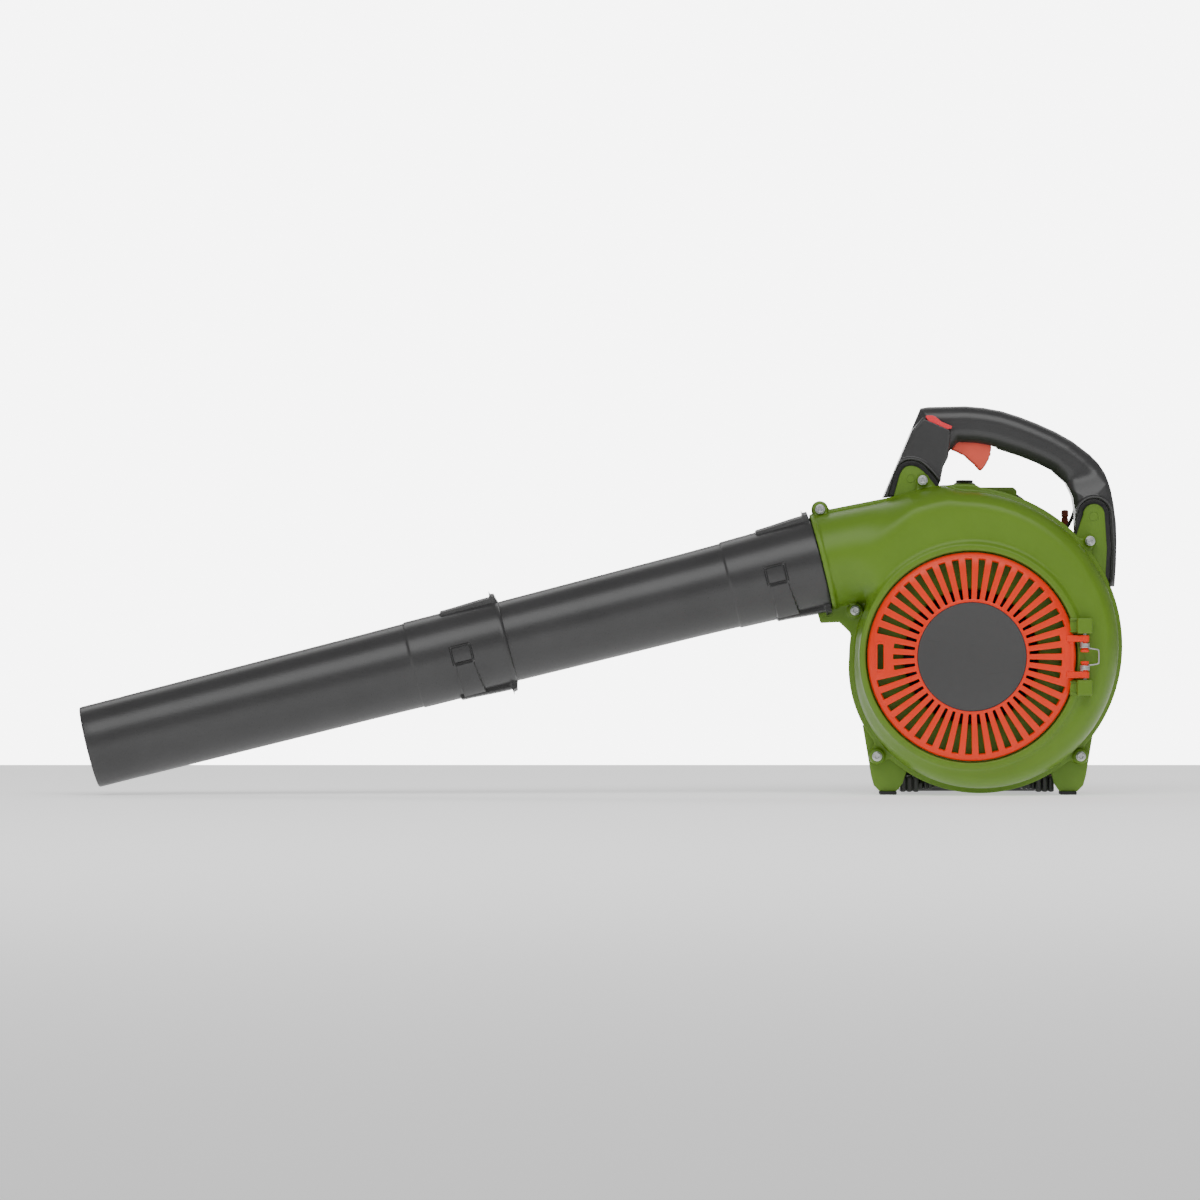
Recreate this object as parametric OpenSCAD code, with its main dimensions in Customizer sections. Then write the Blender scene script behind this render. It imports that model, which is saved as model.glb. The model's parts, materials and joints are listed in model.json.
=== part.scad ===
// Hand-held petrol leaf blower: a volute fan casing with a hinged intake grille, a two-piece
// bayonet tube, a handle with trigger and stop switch, and a small two-stroke engine behind.
// Millimetres. The origin is the centre of the intake throat, on the crank axis.
// +X points away from the nozzle, +Y from the intake side to the engine side, +Z up.

/* [Casing] */
// Height of the crank axis above the floor
axis_height = 133; // [132:0.5:136]
// Radius of the casing flange where the spiral starts, at the left
spiral_start_r = 115; // [113:0.5:117]
// Radius of the casing flange where the spiral ends, at the top
spiral_end_r = 163; // [162:0.5:164]
// Depth of each half of the casing, from the parting plane
half_depth = 48; // [48:0.5:49]
// Wall thickness of the casing
casing_wall = 3; // [2.5:0.5:3]
// Width of the flange outside the casing wall
flange_w = 5; // [4:0.5:5]
// Radius of the intake throat
throat_r = 64; // [62:0.5:65]
// Radius of the recess that the grille closes
recess_r = 101; // [100.5:0.5:102]

/* [Tubes] */
// Downward tilt of the blower tube
tube_tilt = 14.2; // [13:0.1:15]
// Outer radius of the casing's outlet spigot
spigot_r = 41.5; // [41:0.5:42]
// Distance along the tube from the outlet rim to the nozzle's collar
nozzle_start = 309; // [300:1:320]
// Distance along the tube from the outlet rim to the nozzle's tip
nozzle_end = 724; // [700:1:740]
// Wall thickness of the tubes
tube_wall = 2; // [1.8:0.1:2.2]
// Radial clearance of the bayonet joints
tube_fit = 0.06; // [0.04:0.01:0.08]

/* [Grille] */
// Outer radius of the grille
grille_r = 99.5; // [99:0.5:100]
// Number of radial bars
grille_bars = 45; // [36:1:48]
// Radius of the blank disc in its middle
badge_r = 52; // [50:0.5:52]
// Distance of the hinge pin from the crank axis
hinge_x = 107.5; // [107:0.5:108]

/* [Handle] */
// Width of the grip
grip_w = 32; // [30:1:32]
// Wall thickness of the handle's halves
handle_wall = 3; // [2.5:0.5:3]

/* [Engine] */
// Cylinder bore
bore_d = 34; // [33:0.5:34]
// Piston stroke
stroke = 29; // [27:0.5:29]
// Radius of the impeller
impeller_r = 98; // [94:1:98]
// Number of impeller blades
impeller_blades = 12; // [8:1:14]

/* [Starter] */
// Radius at which the rope leaves its reel
rope_pitch_r = 36; // [36:0.5:36.5]
// Radius of the starter rope
rope_r = 1.75; // [1.5:0.25:1.75]

/* [Hidden] */

$fn = 64;
green = "#6F8F35";
black = "#3A3A3A";
orange = "#FF4A1C";
steel = "#C9CFCB";

// Casing planes along Y: front face, parting plane and back face
face_y = -8;
part_y = face_y + half_depth;
back_y = part_y + half_depth;
floor_z = -axis_height;

// Outlet rim: the point on the tube's axis where the tubes start
rim_at = [-142.2, part_y, 90.3];
rim_r = 46.8;
duct_r = 45;
duct_bore_r = 39;
duct_hollow_r = duct_bore_r - 0.4;
spigot_l = 34;

// Screws of the casing as [x, z]
screw_places = [[-143, 141], [-109.2, 44], [-44.6, 168.8], [116, 110.6], [-88.3, -95.9], [107, -95.9]];
screw_r = 2.5;
lug_r = 8;

// Handle, in the plane of its width
handle_y = part_y + 24;
grip_lo = handle_y - grip_w / 2;
grip_hi = handle_y + grip_w / 2;
pod_lo = part_y - 3;
pod_hi = grip_hi;
tongue_t = 6;
trigger_at = [-9, 214];
// Ledge of the side pod that the stop switch sits in
switch_at = [-29.3, 223.6];
switch_tilt = -24.4;
switch_y = (pod_lo + grip_lo) / 2;

// Engine planes along Y
cyl_y = back_y + 29;
crank_lo = back_y;
crank_hi = cyl_y + 29;
crank_throw = stroke / 2;
rod_l = 56;
piston_z = crank_throw + rod_l;
cyl_base_z = 44;
bore_r = bore_d / 2 + 0.05;
journal_r = 7.5;
web_r = 26;
fan_shaft_r = 5;
flywheel_y = crank_hi + 4;
shroud_y = crank_hi + 2;
shroud_back_y = shroud_y + 52;
recoil_back_y = shroud_back_y + 22;
rope_y = shroud_back_y + 7;
carb_at = [74, cyl_y, 76];
tank_lo = [-52, back_y + 6, -124];
tank_hi = [70, shroud_back_y - 4, -67.5];
base_mid_x = 9.35;
neck_at = [tank_hi.x, cyl_y + 35, -85];

// ---- Helpers ----

// A flat outline in X and Z, made solid from y0 to y1
module prism(y0, y1) translate([0, y1, 0]) rotate([90, 0, 0]) linear_extrude(y1 - y0) children();

// A round bar along Y
module bar_y(x, z, r, y0, y1) translate([x, y1, z]) rotate([90, 0, 0]) cylinder(r = r, h = y1 - y0);

// A round bar along X
module bar_x(y, z, r, x0, x1) translate([x0, y, z]) rotate([0, 90, 0]) cylinder(r = r, h = x1 - x0);

// A block between two corners
module block(lo, hi) translate(lo) cube(hi - lo);

// Places children on the tube's axis: local +Z runs towards the nozzle, local +X is its top
module on_tube(s = 0) translate(rim_at) rotate([0, -(90 + tube_tilt), 0]) translate([0, 0, s]) children();

function unit(v) = v / norm(v);

// A point on a smooth curve through p1 and p2, for t from 0 to 1
function spline(p0, p1, p2, p3, t) =
    p1 + (p2 - p0) * t / 2 + (2 * p0 - 5 * p1 + 4 * p2 - p3) * t * t / 2
    + (3 * p1 - 3 * p2 + p3 - p0) * t * t * t / 2;

// A route's own points with smooth steps between them
function smooth(p, steps) = let (n = len(p) - 1) concat(
    [for (i = [0 : n - 1], k = [0 : steps - 1])
        spline(p[max(i - 1, 0)], p[i], p[i + 1], p[min(i + 2, n)], k / steps)],
    [p[n]]);

// A round tube swept along a route as one closed mesh
module sweep(route, r, sides = 10, up = [0.31, 0.2, 0.93]) {
    n = len(route);
    rings = [for (i = [0 : n - 1])
        let (t = unit(route[min(i + 1, n - 1)] - route[max(i - 1, 0)]),
             a = unit(cross(t, up)), b = cross(a, t))
        for (k = [0 : sides - 1]) route[i] + r * (a * cos(360 * k / sides) + b * sin(360 * k / sides))];
    walls = [for (i = [0 : n - 2], k = [0 : sides - 1])
        let (j = (k + 1) % sides, p = i * sides, q = p + sides) each [[p + k, p + j, q + k], [q + k, p + j, q + j]]];
    ends = [[for (k = [sides - 1 : -1 : 0]) k], [for (k = [0 : sides - 1]) (n - 1) * sides + k]];
    polyhedron(rings, concat(walls, ends));
}

// ---- Casing ----

function spiral_r(t) = t <= 270
    ? spiral_start_r + (spiral_end_r - spiral_start_r) * t / 270
    : spiral_end_r - (spiral_end_r - spiral_start_r) * (t - 270) / 90;

// The spiral outline, set in by a distance from the flange's edge
module spiral(inset) polygon([for (t = [0 : 6 : 354])
    (spiral_r(t) - inset) * [cos(180 + t), sin(180 + t)]]);

edge_in = 20;
edge_deep = 30;

// The rounded body of one half, from the parting plane to the front face, set in by a wall
module half_body(wall) hull() for (a = [0 : 22.5 : 90])
    prism(face_y + wall + edge_deep * (1 - sin(a)), part_y + 1)
        spiral(flange_w + wall + edge_in * (1 - cos(a)));

// The outlet duct, from the body to the rim, set in by a wall; r is its radius at the rim
module duct(wall, r, reach) hull() {
    on_tube(-6) cylinder(r = r, h = 6 + reach, $fn = 48);
    block([-42, part_y - 34 + wall, 66 + wall], [-20, part_y + 34 - wall, 155 - wall]);
    block([-42, part_y - 44 + wall, 82 + wall], [-20, part_y + 44 - wall, 142 - wall]);
}

module front_side() intersection() {
    children();
    block([-260, face_y - 30, -200], [260, part_y, 260]);
}

module rear_side() intersection() {
    children();
    block([-260, part_y, -200], [260, back_y + 60, 260]);
}

module to_rear() translate([0, 2 * part_y, 0]) mirror([0, 1, 0]) children();

// Flange outline of both halves, with the strip along the outlet duct
module flange_outline() {
    spiral(0);
    polygon([[-150, 138], [-24, 162.6], [-24, 60], [-127, 44]]);
}

// A lug that ties a screw to the casing
module lug(p, reach = 34, base = 17) {
    d = norm(p);
    u = p / d;
    n = [-u.y, u.x];
    polygon([u * (d - reach) + n * base, u * (d - reach) - n * base, p - n * lug_r, p + n * lug_r]);
    translate(p) circle(r = lug_r, $fn = 48);
}

module lugs() {
    for (p = screw_places) if (p.x > -100) lug(p);
    for (p = screw_places) if (p.x < -100) translate(p) circle(r = lug_r, $fn = 48);
}

// The plate below the outlet
module outlet_plate() polygon([[-145, 40.4], [-142.3, 31.7], [-124.3, 32.6], [-111.5, 20.3], [-96, 40], [-118, 56], [-139, 48]]);

module casing_hollow() {
    half_body(casing_wall);
    duct(casing_wall, duct_hollow_r, 0.5);
}

// Height of a bayonet stud
stud_h = 2;

// Stud of the bayonet: a short arc on the spigot, from angle a0
module stud(r, s, a0) on_tube(s) rotate([0, 0, a0]) rotate_extrude(angle = 9)
    translate([r - 0.5, 0]) square([stud_h + 0.5, 6]);

// Room for the tube's ribs outside the rim
module rib_room() on_tube() rotate([0, 0, 50]) cylinder(r = rim_r + 4.6, h = spigot_l);

// The spigot and the rim are turned so that their seams lie off the parting plane
module spigot() on_tube(-4) rotate([0, 0, 50]) difference() {
    cylinder(r = spigot_r, h = spigot_l + 4);
    translate([0, 0, -1]) cylinder(r = duct_bore_r, h = spigot_l + 6);
}

module rim() on_tube(-4.8) rotate([0, 0, 50]) difference() {
    cylinder(r = rim_r, h = 4.8);
    translate([0, 0, -1]) cylinder(r = duct_bore_r, h = 7);
}

hinge_y = face_y - 6;
pin_r = 1.75;
// Hinge along Z: lower ends of the casing blocks, arms and caps above the middle
hinge_block = [22, 37];
hinge_arm = [14.2, 20.4];

module at_each_end() {
    children();
    mirror([0, 0, 1]) children();
}

module hinge_blocks() at_each_end() difference() {
    union() {
        block([hinge_x - 7.5, hinge_y - 6, hinge_block[0]], [hinge_x + 7, face_y + 6, hinge_block[1]]);
        block([hinge_x - 14, hinge_y + 2, hinge_block[0]], [hinge_x - 7, face_y + 6, hinge_block[1]]);
    }
    translate([hinge_x, hinge_y, hinge_block[0] - 1]) cylinder(r = pin_r, h = 14, $fn = 32);
}

module volute_front() color(green) difference() {
    union() {
        difference() {
            union() {
                front_side() { union() { half_body(0); duct(0, duct_r, 0); } }
                prism(part_y - 4, part_y) { flange_outline(); lugs(); outlet_plate(); }
                bar_y(0, 0, recess_r + 6, face_y - 3, face_y + 12);
                front_side() rim();
                for (p = screw_places) bar_y(p.x, p.y, lug_r - 1, part_y - 8, part_y - 3);
            }
            casing_hollow();
            bar_y(0, 0, recess_r, face_y - 4, 0);
            rib_room();
            block([90, face_y - 30, -22], [120, face_y, 22]);
        }
        bar_y(0, 0, recess_r + 3, face_y, 3);
        bar_y(0, 0, throat_r + 3, 0, 12);
        front_side() spigot();
        stud(spigot_r, 9, 181);
        hinge_blocks();
    }
    bar_y(0, 0, throat_r, -1, 13);
    bar_y(0, 0, recess_r, face_y - 4, 0);
    for (p = screw_places) {
        bar_y(p.x, p.y, screw_r + 0.1, part_y - 20, part_y + 1);
        bar_y(p.x, p.y, 5.2, part_y - 16, part_y - 8);
    }
}

module tongue_front() {
    mid = [-53.7, 157.7];
    along = unit([37.8, 9.7]);
    across = [-along.y, along.x];
    polygon(concat([for (a = [0 : 12 : 180])
        mid + 19.5 * cos(a) * along + 25 * pow(sin(a), 0.8) * across],
        [[-80, 125], [-28, 130]]));
}

module tongue_rear() polygon(concat(
    [for (a = [0 : 15 : 180]) [120.2, 136] + 10.4 * [cos(a), sin(a)]],
    [[103.4, 116.2], [96, 96], [124, 56], [131.3, 75.5], [132.7, 103.2]]));

leg_outlines = [
    [[-101.9, -65.7], [-93.5, -115], [-85.6, -129.5], [-69, -129.5], [-60.1, -111.8], [-50, -90]],
    [[119.8, -72], [112.6, -115], [104.6, -129.5], [87, -129.5], [79.2, -111.8], [66, -90]]
];

module volute_rear() color(green) difference() {
    union() {
        difference() {
            union() {
                rear_side() { union() { to_rear() half_body(0); duct(0, duct_r, 0); } }
                prism(part_y, part_y + 4) { flange_outline(); lugs(); outlet_plate(); }
                prism(part_y, part_y + tongue_t) { tongue_front(); tongue_rear(); }
                for (l = leg_outlines) prism(part_y, part_y + 8) polygon(l);
                block([-84, part_y, -129.5], [-70, part_y + 24, -112]);
                block([89, part_y, -129.5], [103, part_y + 24, -112]);
                rear_side() rim();
                for (p = screw_places) bar_y(p.x, p.y, lug_r - 1, part_y, part_y + 18);
            }
            to_rear() half_body(casing_wall);
            duct(casing_wall, duct_hollow_r, 0.5);
            rib_room();
        }
        rear_side() spigot();
        stud(spigot_r, 9, 1);
    }
    bar_y(0, 0, 18, back_y - 6, back_y + 1);
    for (p = screw_places) bar_y(p.x, p.y, screw_r, part_y - 1, part_y + 16);
}

module casing_screws() color(steel) for (p = screw_places) difference() {
    union() {
        bar_y(p.x, p.y, 4.8, part_y - 12, part_y - 8);
        bar_y(p.x, p.y, screw_r, part_y - 9, part_y + 15);
    }
    bar_y(p.x, p.y, 2, part_y - 13, part_y - 10);
}

module foot_pads() color("#2A2A2A") {
    block([-85.4, part_y - 2, floor_z], [-69.1, part_y + 26, -129.5]);
    block([87.9, part_y - 2, floor_z], [103.7, part_y + 26, -129.5]);
    for (x = [-48, 50]) block([x, shroud_back_y - 26, floor_z], [x + 16, shroud_back_y - 6, -131]);
}

// ---- Intake grille ----

grille_lo = face_y - 9;
slot_in_r = 55;
slot_out_r = 94;
rim_in_r = 84;

module grille_slot(k, r0, r1) rotate([0, 0, 360 * (k + 0.5) / grille_bars])
    polygon([[r0, -1.3], [r0, 1.3], [r1, 3.3], [r1, -3.3]]);

module intake_grille() color(orange) difference() {
    union() {
        // Flat middle, sloped rim and skirt as one turned shape
        rotate([90, 0, 0]) rotate_extrude()
            polygon([[0, 14], [0, 17], [rim_in_r, 17], [rim_in_r + 9, 15], [grille_r - 2.5, 12],
                [grille_r, 8.5], [grille_r, 2], [grille_r - 3, 2], [grille_r - 3, 9], [rim_in_r, 14]]);
        at_each_end() hinge_arm_shape();
    }
    bar_y(0, 0, badge_r, grille_lo - 1, grille_lo + 1);
    for (k = [0 : grille_bars - 1]) {
        a = 360 * (k + 0.5) / grille_bars;
        left = abs(a - 180) < 15;
        right = min(a, 360 - a) < 18;
        prism(grille_lo - 1, face_y + 6) grille_slot(k, slot_in_r, left ? 75 : right ? 86 : slot_out_r);
    }
    block([-90, grille_lo - 1, -12], [-84.5, face_y + 6, 12]);
    translate([hinge_x, hinge_y, -hinge_arm[1] - 1])
        cylinder(r = pin_r + 0.05, h = 2 * hinge_arm[1] + 2, $fn = 32);
}

module hinge_arm_shape() {
    block([88, hinge_y - 2.5, hinge_arm[0]], [hinge_x - 2, hinge_y + 2.5, hinge_arm[1]]);
    translate([hinge_x, hinge_y, hinge_arm[0]]) cylinder(r = 4, h = hinge_arm[1] - hinge_arm[0]);
    translate([hinge_x, hinge_y, 4.3]) cylinder(r = 3, h = 11);
    translate([hinge_x, hinge_y, 4.3]) cylinder(r = 4, h = 2.6);
}

module grille_badge() color("#545454") bar_y(0, 0, badge_r, grille_lo, grille_lo + 1);

module grille_hinge_pins() color(steel) at_each_end()
    translate([hinge_x, hinge_y, 4.8]) cylinder(r = pin_r, h = hinge_block[0] + 5.2, $fn = 32);

// Double torsion spring: coils round the bosses and a bow that rests on the casing
module grille_spring() color(steel) {
    at_each_end() for (k = [0 : 3]) translate([hinge_x, hinge_y, 8.1 + 1.45 * k])
        rotate_extrude() translate([4.2, 0]) circle(r = 0.75, $fn = 16);
    sweep(smooth([[hinge_x + 4.3, hinge_y, 8.6], [hinge_x + 9, hinge_y + 1.5, 8.2], [hinge_x + 13, hinge_y + 3, 6.5],
        [hinge_x + 13.6, hinge_y + 3.2, 0], [hinge_x + 13, hinge_y + 3, -6.5], [hinge_x + 9, hinge_y + 1.5, -8.2],
        [hinge_x + 4.3, hinge_y, -8.6]], 4), 0.7, 8, [0, 1, 0.02]);
}

// ---- Impeller ----

module impeller() color("#2E2E2E") difference() {
    union() {
        bar_y(0, 0, impeller_r, back_y - 20, back_y - 17);
        bar_y(0, 0, 14, back_y - 42, back_y - 17);
        bar_y(0, 0, 30, back_y - 28, back_y - 17);
        for (k = [0 : impeller_blades - 1]) rotate([0, 360 * k / impeller_blades, 0]) {
            block([58, 16, -1.5], [impeller_r - 2, back_y - 19, 1.5]);
            block([28, back_y - 34, -1.5], [60, back_y - 19, 1.5]);
        }
    }
    bar_y(0, 0, fan_shaft_r, back_y - 43, back_y - 16);
}

// ---- Handle ----

handle_points = [
    [-82.4, 152], [-45.5, 238.7], [-2, 240.8], [32.5, 236.2], [66.8, 224.2], [101, 207], [118, 194],
    [132, 176.2], [140.5, 146], [143.4, 110], [141.3, 66.8], [126, 66.8], [102.7, 100], [102.7, 117],
    [100.2, 153], [94, 166.7], [80.5, 178.7], [49.6, 192.5], [23, 201.1], [-8.6, 204.4], [-16.3, 196.7],
    [-24.1, 182], [-29.2, 158]
];

module handle_outline(inset = 0) offset(r = -inset, $fn = 24) offset(r = 3, $fn = 24) offset(delta = -3)
    polygon(handle_points);

// The two ends of the handle, which are wider than the grip; the front one has the switch's ledge
module pod_outline(inset = 0) intersection() {
    handle_outline(inset);
    union() {
        polygon([[-42, 229.2 - inset], [-16.8, 217.8 - inset], [-19.5, 201], [-24, 150], [-95, 140], [-64, 206]]);
        polygon([[88, 172], [150, 180], [150, 60], [100, 60]]);
    }
}

// Room for the casing, the tongues and their screws, and the trigger
module handle_room() {
    prism(pod_lo - 5, pod_hi + 5) offset(delta = 0.4) {
        spiral(flange_w);
        polygon([[-150, 136], [-24, 158.5], [-24, 60], [-127, 44]]);
    }
    prism(pod_lo - 5, part_y + tongue_t + 0.2) offset(delta = 5) { tongue_front(); tongue_rear(); }
    prism(pod_lo - 5, part_y + tongue_t + 0.2) offset(delta = 0.4) { flange_outline(); lugs(); }
    for (p = screw_places) bar_y(p.x, p.y, lug_r - 0.6, part_y, part_y + 18.3);
    prism(handle_y - 7, handle_y + 7) polygon([[-19, 190], [-17, 210], [26, 210], [29, 195]]);
}

// Places children on the switch's ledge: local +X runs down its slope, local +Z stands out of it
module on_ledge() translate([switch_at.x, switch_y, switch_at.y]) rotate([0, -switch_tilt, 0]) children();

module handle_shell() difference() {
    union() {
        prism(grip_lo + 4, grip_hi - 4) handle_outline();
        prism(grip_lo, grip_hi) handle_outline(3);
        prism(pod_lo, pod_hi) pod_outline();
    }
    prism(grip_lo + handle_wall, grip_hi - handle_wall) handle_outline(handle_wall + 1);
    prism(part_y + tongue_t + 2.6, pod_hi - handle_wall) pod_outline(handle_wall + 1);
    handle_room();
    on_ledge() {
        block([-13.9, -4.2, -16], [13.9, 4.2, 12]);
        translate([0, 7, 0]) rotate([90, 0, 0]) cylinder(r = 1.55, h = 11.7, $fn = 32);
    }
    bar_x(cable_route[0].y, cable_route[0].z, 3.2, 94, cable_route[0].x);
}

module handle_front() color(black) difference() {
    handle_shell();
    block([-120, handle_y, 40], [160, pod_hi + 30, 260]);
    bar_y(trigger_at.x, trigger_at.y, 2, grip_lo + 1.5, handle_y + 1);
}

handle_screw_places = [[-50, 222], [62, 209], [124, 165], [-62, 178]];

module handle_rear() color(black) difference() {
    union() {
        difference() {
            handle_shell();
            block([-120, pod_lo - 30, 40], [160, handle_y, 260]);
        }
        for (p = handle_screw_places) bar_y(p.x, p.y, 5, handle_y, grip_hi - 1);
    }
    bar_y(trigger_at.x, trigger_at.y, 2, handle_y - 1, grip_hi - 1.5);
    for (p = handle_screw_places) {
        bar_y(p.x, p.y, 2, handle_y - 1, pod_hi + 1);
        bar_y(p.x, p.y, 4, grip_hi - 4, pod_hi + 1);
    }
}

module handle_screws() color(steel) for (p = handle_screw_places) difference() {
    union() {
        bar_y(p.x, p.y, 3.8, grip_hi - 4, grip_hi - 1);
        bar_y(p.x, p.y, 2, handle_y + 1, grip_hi - 3);
    }
    bar_y(p.x, p.y, 1.5, grip_hi - 2.5, grip_hi);
}

module throttle_trigger() color("#D9695D") difference() {
    union() {
        prism(handle_y - 6, handle_y + 6) polygon([[-15.5, 208], [-15.5, 198.4], [-10, 196.3], [-2, 191.5], [6, 184.5],
            [10.5, 179.2], [12.8, 178.4], [15, 180.5], [19.5, 187], [22.3, 194], [23, 201.1], [21, 208], [4, 215], [-6, 216]]);
        bar_y(trigger_at.x, trigger_at.y, 6, handle_y - 6, handle_y + 6);
    }
    bar_y(trigger_at.x, trigger_at.y, 2.05, handle_y - 8, handle_y + 8);
}

module trigger_pin() color(steel) bar_y(trigger_at.x, trigger_at.y, 2, grip_lo + 2, grip_hi - 2);

module trigger_spring() color(steel) for (k = [0 : 2])
    translate([trigger_at.x, handle_y + 7.4 + 1.35 * k, trigger_at.y]) rotate([90, 0, 0])
        rotate_extrude() translate([3.6, 0]) circle(r = 0.7, $fn = 16);

module stop_switch() color("#E8404A") on_ledge() {
    translate([0, 3.9, 0]) rotate([90, 0, 0]) linear_extrude(7.8)
        polygon([[-13.4, 0.4], [-13.4, 2.4], [-8.5, 4.6], [-5, 4.8], [2, 2.8], [13.4, 3], [13.4, 0.4], [4, -6], [-4, -6]]);
    translate([0, 6.5, 0]) rotate([90, 0, 0]) cylinder(r = 1.5, h = 11, $fn = 32);
}

// Brass contacts in the pod, under the rocker
module switch_contacts() color("#B08D3C") on_ledge() for (x = [-7, 7])
    block([x - 2.5, -3, -15], [x + 2.5, 3, -9.6]);

// ---- Tubes ----

// Raised rib over a bayonet groove: an arc of the collar from angle a0, as long as l
module tube_rib(r, l, a0) rotate([0, 0, a0]) rotate_extrude(angle = 40)
    polygon([[r - 1.5, 0], [r + 6.4, 0], [r + 6.4, 6], [r + 4.6, 8], [r + 4.2, l - 4], [r - 0.5, l], [r - 1.5, l]]);

// Groove for a stud: entry along the tube, then a turn in it
module stud_groove(r, a0) rotate([0, 0, a0]) {
    rotate_extrude(angle = 30) translate([r - 1, 8.6]) square([stud_h + 1.3, 7]);
    rotate([0, 0, 19]) rotate_extrude(angle = 10.6) translate([r - 1, -1]) square([stud_h + 1.3, 16]);
}

module collar_trim(r) {
    tube_rib(r, 54, -14);
    tube_rib(r, 54, 166);
}

module blower_tube() color(black) {
    neck = nozzle_start + 36;
    end_r = 39;
    on_tube() difference() {
        union() {
            rotate_extrude() polygon([[30, 0], [44.7, 0], [42.4, 89.5], [41.2, 90.7], [39.2, nozzle_start - 2],
                [end_r, nozzle_start], [end_r, neck], [30, neck]]);
            collar_trim(44.4);
            for (a = [0, 180]) translate([0, 0, nozzle_start + 9]) rotate([0, 0, a + 1]) rotate_extrude(angle = 9)
                translate([end_r - 0.5, 0]) square([stud_h + 0.5, 6]);
        }
        rotate_extrude() polygon([[0, -1], [spigot_r + tube_fit, -1], [spigot_r + tube_fit, 36], [spigot_r - 2.5, 44],
            [end_r - tube_wall, nozzle_start], [end_r - tube_wall, neck + 1], [0, neck + 1]]);
        for (a = [0, 180]) stud_groove(spigot_r, a - 0.5);
    }
}

// Straight part at the nozzle's tip, for an attachment
tip_r = 39.6;
tip_land = 40;

module nozzle_tube() color(black) on_tube(nozzle_start + 0.4) {
    l = nozzle_end - nozzle_start - 0.4;
    fit_r = 39 + tube_fit;
    difference() {
        union() {
            rotate_extrude() polygon([[30, 0], [42.7, 0], [42.25, 92.5], [41.3, 93.7], [tip_r, l - tip_land], [tip_r, l], [30, l]]);
            collar_trim(42.4);
        }
        rotate_extrude() polygon([[0, -1], [fit_r, -1], [fit_r, 37.6], [39.2, 44], [39.2, 110], [tip_r - tube_wall, l - tip_land], [tip_r - tube_wall, l + 1],
            [0, l + 1]]);
        for (a = [0, 180]) stud_groove(fit_r, a - 0.5);
    }
}

// ---- Base ----

// Steps of the ribbed front of the base as [x from the middle, width, top]
base_steps = [[32, 12, -123.5], [43, 13, -120.8], [56, 18.5, -115.5]];

module base_guard() color(black) {
    difference() {
        block([-66, back_y + 4, -131], [84.7, shroud_back_y - 1, -110]);
        block([tank_lo.x, tank_lo.y, -124], [tank_hi.x, tank_hi.y, -100]);
    }
    for (s = [-1, 1], step = base_steps, k = [0 : 2]) {
        w = step[1] / 3;
        x = base_mid_x + s * (step[0] + w * k + (s > 0 ? 0 : w));
        block([x + 0.15, part_y + 20 + 2 * k, -131 + 4 * (56 - step[0]) / 24], [x + w + 0.15, back_y + 5, step[2]]);
    }
    for (x = [-48, 50]) block([x, shroud_back_y - 26, -131], [x + 16, shroud_back_y - 6, -128]);
}

// ---- Engine ----

module crankcase_outline() {
    circle(r = 40);
    translate([-30, 0]) square([60, cyl_base_z]);
    for (s = [-1, 1]) translate([46 * s, -14]) circle(r = 9);
    translate([-46, -23]) square([92, 18]);
}

module crankcase_half() difference() {
    prism(crank_lo, cyl_y) crankcase_outline();
    bar_y(0, 0, web_r + 4, crank_lo + 10, cyl_y + 1);
    bar_y(0, 0, 16, crank_lo + 2, crank_lo + 11);
    bar_y(0, 0, 9.5, crank_lo - 1, crank_lo + 3);
    translate([0, cyl_y, 15]) cylinder(r = bore_r + 0.6, h = 40);
    for (s = [-1, 1]) bar_y(46 * s, -14, 2.5, crank_lo - 1, cyl_y + 1);
}

module crankcase_front() color("#B9BCBE") crankcase_half();

module crankcase_rear() color("#B9BCBE") translate([0, 2 * cyl_y, 0]) mirror([0, 1, 0]) crankcase_half();

module main_bearings() color(steel) for (y = [crank_lo + 2, crank_hi - 10]) difference() {
    bar_y(0, 0, 16, y, y + 8);
    bar_y(0, 0, journal_r + 0.05, y - 1, y + 9);
}

module crankshaft() color(steel) {
    bar_y(0, 0, fan_shaft_r, back_y - 50, back_y - 4);
    bar_y(0, 0, journal_r, back_y - 5, crank_lo + 12.5);
    for (y = [crank_lo + 12, cyl_y + 9.3]) bar_y(0, 0, web_r, y, y + 7.7);
    bar_y(0, 0, journal_r, cyl_y + 16.5, crank_hi + 3);
    bar_y(0, 0, 6, crank_hi + 2, flywheel_y + 30);
}

module crank_pin() color(steel) bar_y(0, crank_throw, 6, cyl_y - 9, cyl_y + 9);

module connecting_rod() color("#8D9194") difference() {
    union() {
        bar_y(0, crank_throw, 9.5, cyl_y - 5, cyl_y + 5);
        bar_y(0, piston_z, 7, cyl_y - 4, cyl_y + 4);
        prism(cyl_y - 3, cyl_y + 3) polygon([[-5.5, crank_throw + 4], [5.5, crank_throw + 4], [4, piston_z - 3], [-4, piston_z - 3]]);
    }
    bar_y(0, crank_throw, 6, cyl_y - 6, cyl_y + 6);
    bar_y(0, piston_z, 4, cyl_y - 6, cyl_y + 6);
}

ring_zs = [piston_z + 6, piston_z + 9.5];

module piston() color("#B9BCBE") difference() {
    translate([0, cyl_y, piston_z - 14]) cylinder(r = bore_d / 2, h = 27);
    translate([0, cyl_y, piston_z - 15]) cylinder(r = bore_d / 2 - 3, h = 24);
    bar_y(0, piston_z, 4, cyl_y - 20, cyl_y + 20);
    for (z = ring_zs) translate([0, cyl_y, z]) difference() {
        cylinder(r = bore_d / 2 + 1, h = 1.5);
        translate([0, 0, -1]) cylinder(r = bore_d / 2 - 1.8, h = 4);
    }
}

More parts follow.
